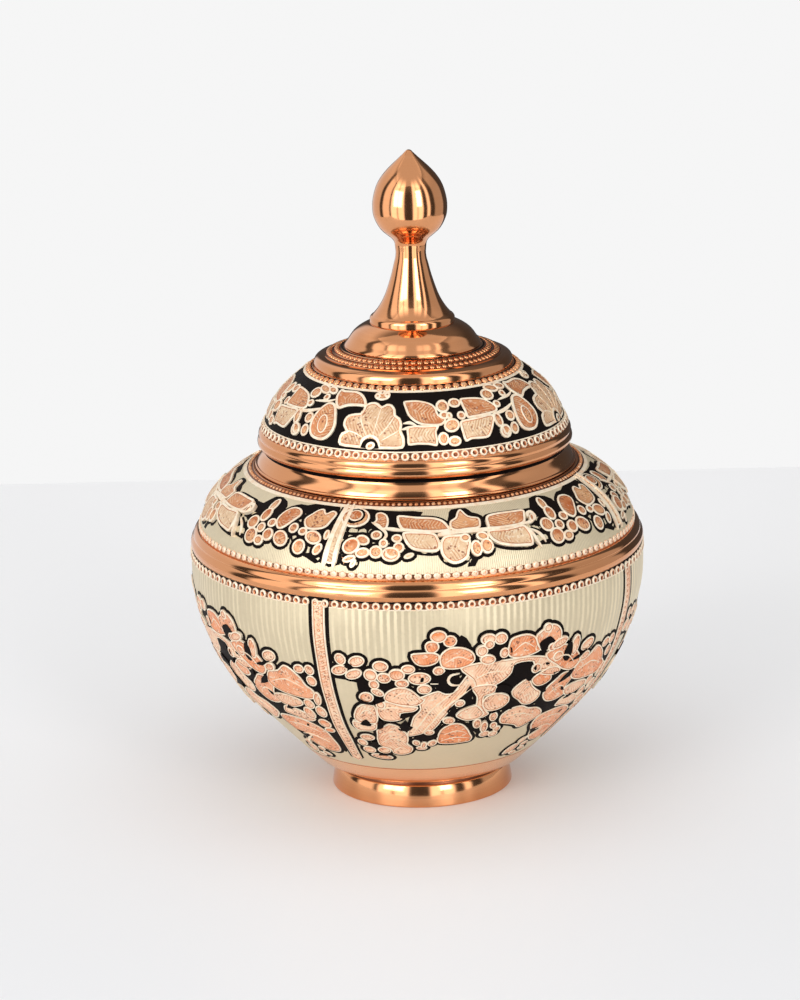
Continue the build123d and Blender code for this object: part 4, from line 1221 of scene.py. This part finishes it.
ring_pearl = ((0.28, 0.62, RIM), (0.36, 0.60, RIM), (0.34, 0.30, GROOVE))
pale_pearl = ((0.25, 0.42, BLUSH), (0.40, 0.56, RIM))
twist = ((0.3, 0.5, FILL),)
bright_pearl = ((0.25, 0.5, BRIGHT), (0.45, 0.62, FILL))
bead = ((0.2, 0.45, BRIGHT), (0.45, 0.6, BRIGHT))
bowl_rise = bowl_wall.rise_at(93.95)
rope_rise = shoulder_wall.rise_at(125.35)
each(
    pearl_row,
    ("bowl_pearls", bowl_wall, bowl_rise, 140, 1.6, ring_pearl, DARK, 0.225, 0.9, "box", 8, 0.95),
    ("shoulder_pearls", shoulder_wall, 0.80, 150, 1.3, pale_pearl, BLUSH, 0.2, 0.25, "box", 8, 1.12),
    ("shoulder_rope", shoulder_wall, rope_rise, 190, 0.75, twist, FILL, 0.2, 0.7, "box", 6),
    ("lid_pearls", dome_wall, dome_wall.rise_at(141.6), 98, 1.6, ring_pearl, DARK, 0.225, 0.6, "lid"),
    ("lid_top_pearls", dome_wall, dome_wall.rise_at(162.55), 78, 1.35, bright_pearl, FILL, 0.2, 0.5, "lid"),
    ("crown_outer_beads", crown_wall, crown_wall.rise_at(168.35), 84, 1.12, bead, BRIGHT, 0.2, 0.5, "lid"),
    ("crown_inner_beads", crown_wall, crown_wall.rise_at(169.52), 74, 1.12, bead, BRIGHT, 0.2, 0.5, "lid"),
)


# ---------------------------------------------------------------- room, light and camera

image_width, image_height = 800, 1000
focal_px = 3553
centre_px = (417.4, 551)  # where the middle of the object lands
eye = Vector((0, -1.290, 0.4565))
aim = Vector((0, 0, 0.0905))
roll = math.radians(1.27)

camera_data = bpy.data.cameras.new("camera")
camera_data.sensor_width = 36
camera_data.lens = focal_px / image_height * camera_data.sensor_width
camera_data.shift_x = (image_width / 2 - centre_px[0]) / image_height
camera_data.shift_y = (centre_px[1] - image_height / 2) / image_height
camera_data.clip_start = 0.01
camera = linked("camera", camera_data)
camera.rotation_mode = "QUATERNION"
camera.location = eye
camera.rotation_quaternion = (aim - eye).to_track_quat("-Z", "Y") @ Quaternion((0, 0, 1), -roll)
bpy.context.scene.camera = camera
bpy.context.scene.view_settings.view_transform = "Standard"

world = bpy.data.worlds.new("studio")
bpy.context.scene.world = world
world.use_nodes = True
world.node_tree.nodes.clear()
sky = Nodes(world.node_tree)
sky_x, sky_y, sky_z = sky.split(sky.node("ShaderNodeTexCoord", output="Generated"))
sky_turn = sky_x.maths("ARCTAN2", sky_y * -1.0)

# The room as polished metal shows it: windows, each (from, to, strength) with turns in degrees to the right
# of the front, between dark stretches, under a dim ceiling.
room_windows = (
    (-92, -66, 1.3), (-60, -40, 2.2), (-37, -18, 2.2), (10, 24, 2.2), (26, 42, 2.2), (56, 66, 1.8),
    (84, 125, 0.5), (-165, -106, 0.8),
)
soft = 0.06  # how far a window's sides fade, in radians
dim_room = 0.08
high_wall = 0.12  # brightness high up the walls
backdrop = 0.92
soft_light = 0.66  # brightness that matt surfaces get from all round
ceiling = sky.span(sky_z, 0.92, 0.68)
room = dim_room + sky.span(sky_z, 0.40, 0.75) * high_wall
for left, right, brightness in room_windows:
    opened = sky.span(sky_turn, math.radians(left) - soft, math.radians(left) + soft)
    closed = sky.span(sky_turn, math.radians(right) + soft, math.radians(right) - soft)
    room = room + opened * closed * ceiling * brightness
seen, glossy, passing = (
    sky.node("ShaderNodeLightPath", output=f"Is {kind} Ray") for kind in ("Camera", "Glossy", "Transmission")
)
strength = seen * backdrop + glossy * room + passing + (1.0 - seen) * (1.0 - glossy) * soft_light
background = sky.node("ShaderNodeBackground", {"Color": (1, 1, 1, 1), "Strength": strength})
out = sky.tree.nodes.new("ShaderNodeOutputWorld")
feed(sky.tree, out.inputs["Surface"], background)

lamp_distance = 4.0
lamp_aim = Vector((0, 0, 0.12))


def window(name, turn, elevation, width, height, power):
    """A soft lamp that faces the bowl."""
    data = bpy.data.lights.new(name, "AREA")
    data.shape = "RECTANGLE"
    data.size, data.size_y = width, height
    data.energy = power
    turn, elevation = math.radians(turn), math.radians(elevation)
    level = math.cos(elevation)
    away = Vector((math.sin(turn) * level, -math.cos(turn) * level, math.sin(elevation)))
    lamp = linked(name, data)
    lamp.location = lamp_aim + away * lamp_distance
    lamp.rotation_mode = "QUATERNION"
    lamp.rotation_quaternion = (-away).to_track_quat("-Z", "Y")


each(
    window,
    ("window_left", -38, 19, 1.9, 2.1, 58),
    ("window_right", 30, 20, 1.05, 2.1, 38),
    ("window_top", 0, 80, 5.6, 4.8, 50),
)

table_wide, table_deep = 1.2, 0.80
table_end = 0.46  # far edge of the table, behind the bowl
# The table is painted lighter towards the back, painted light where the lamps' light falls off, and cooler
# near the bowl against the warm light that the copper throws on it.
table_near_cooled, table_far_lit = (0.855, 0.86, 0.875), (0.965, 0.965, 0.975)
table = bmesh.new()
bmesh.ops.create_grid(table, x_segments=2, y_segments=2, size=0.5)
bmesh.ops.scale(table, verts=table.verts, vec=(table_wide, table_deep, 1))
bmesh.ops.translate(table, verts=table.verts, vec=(0, table_end - table_deep / 2, 0))
pale = Finish("pale_floor", Roughness=0.5)
_, depth, _ = pale.split(pale.place)
pale.feed("Base Color", pale.blend(pale.span(depth, -0.20, 0.30), table_near_cooled, table_far_lit))
floor = mesh_object(table, "floor", [pale.material])


bpy.context.view_layer.update()
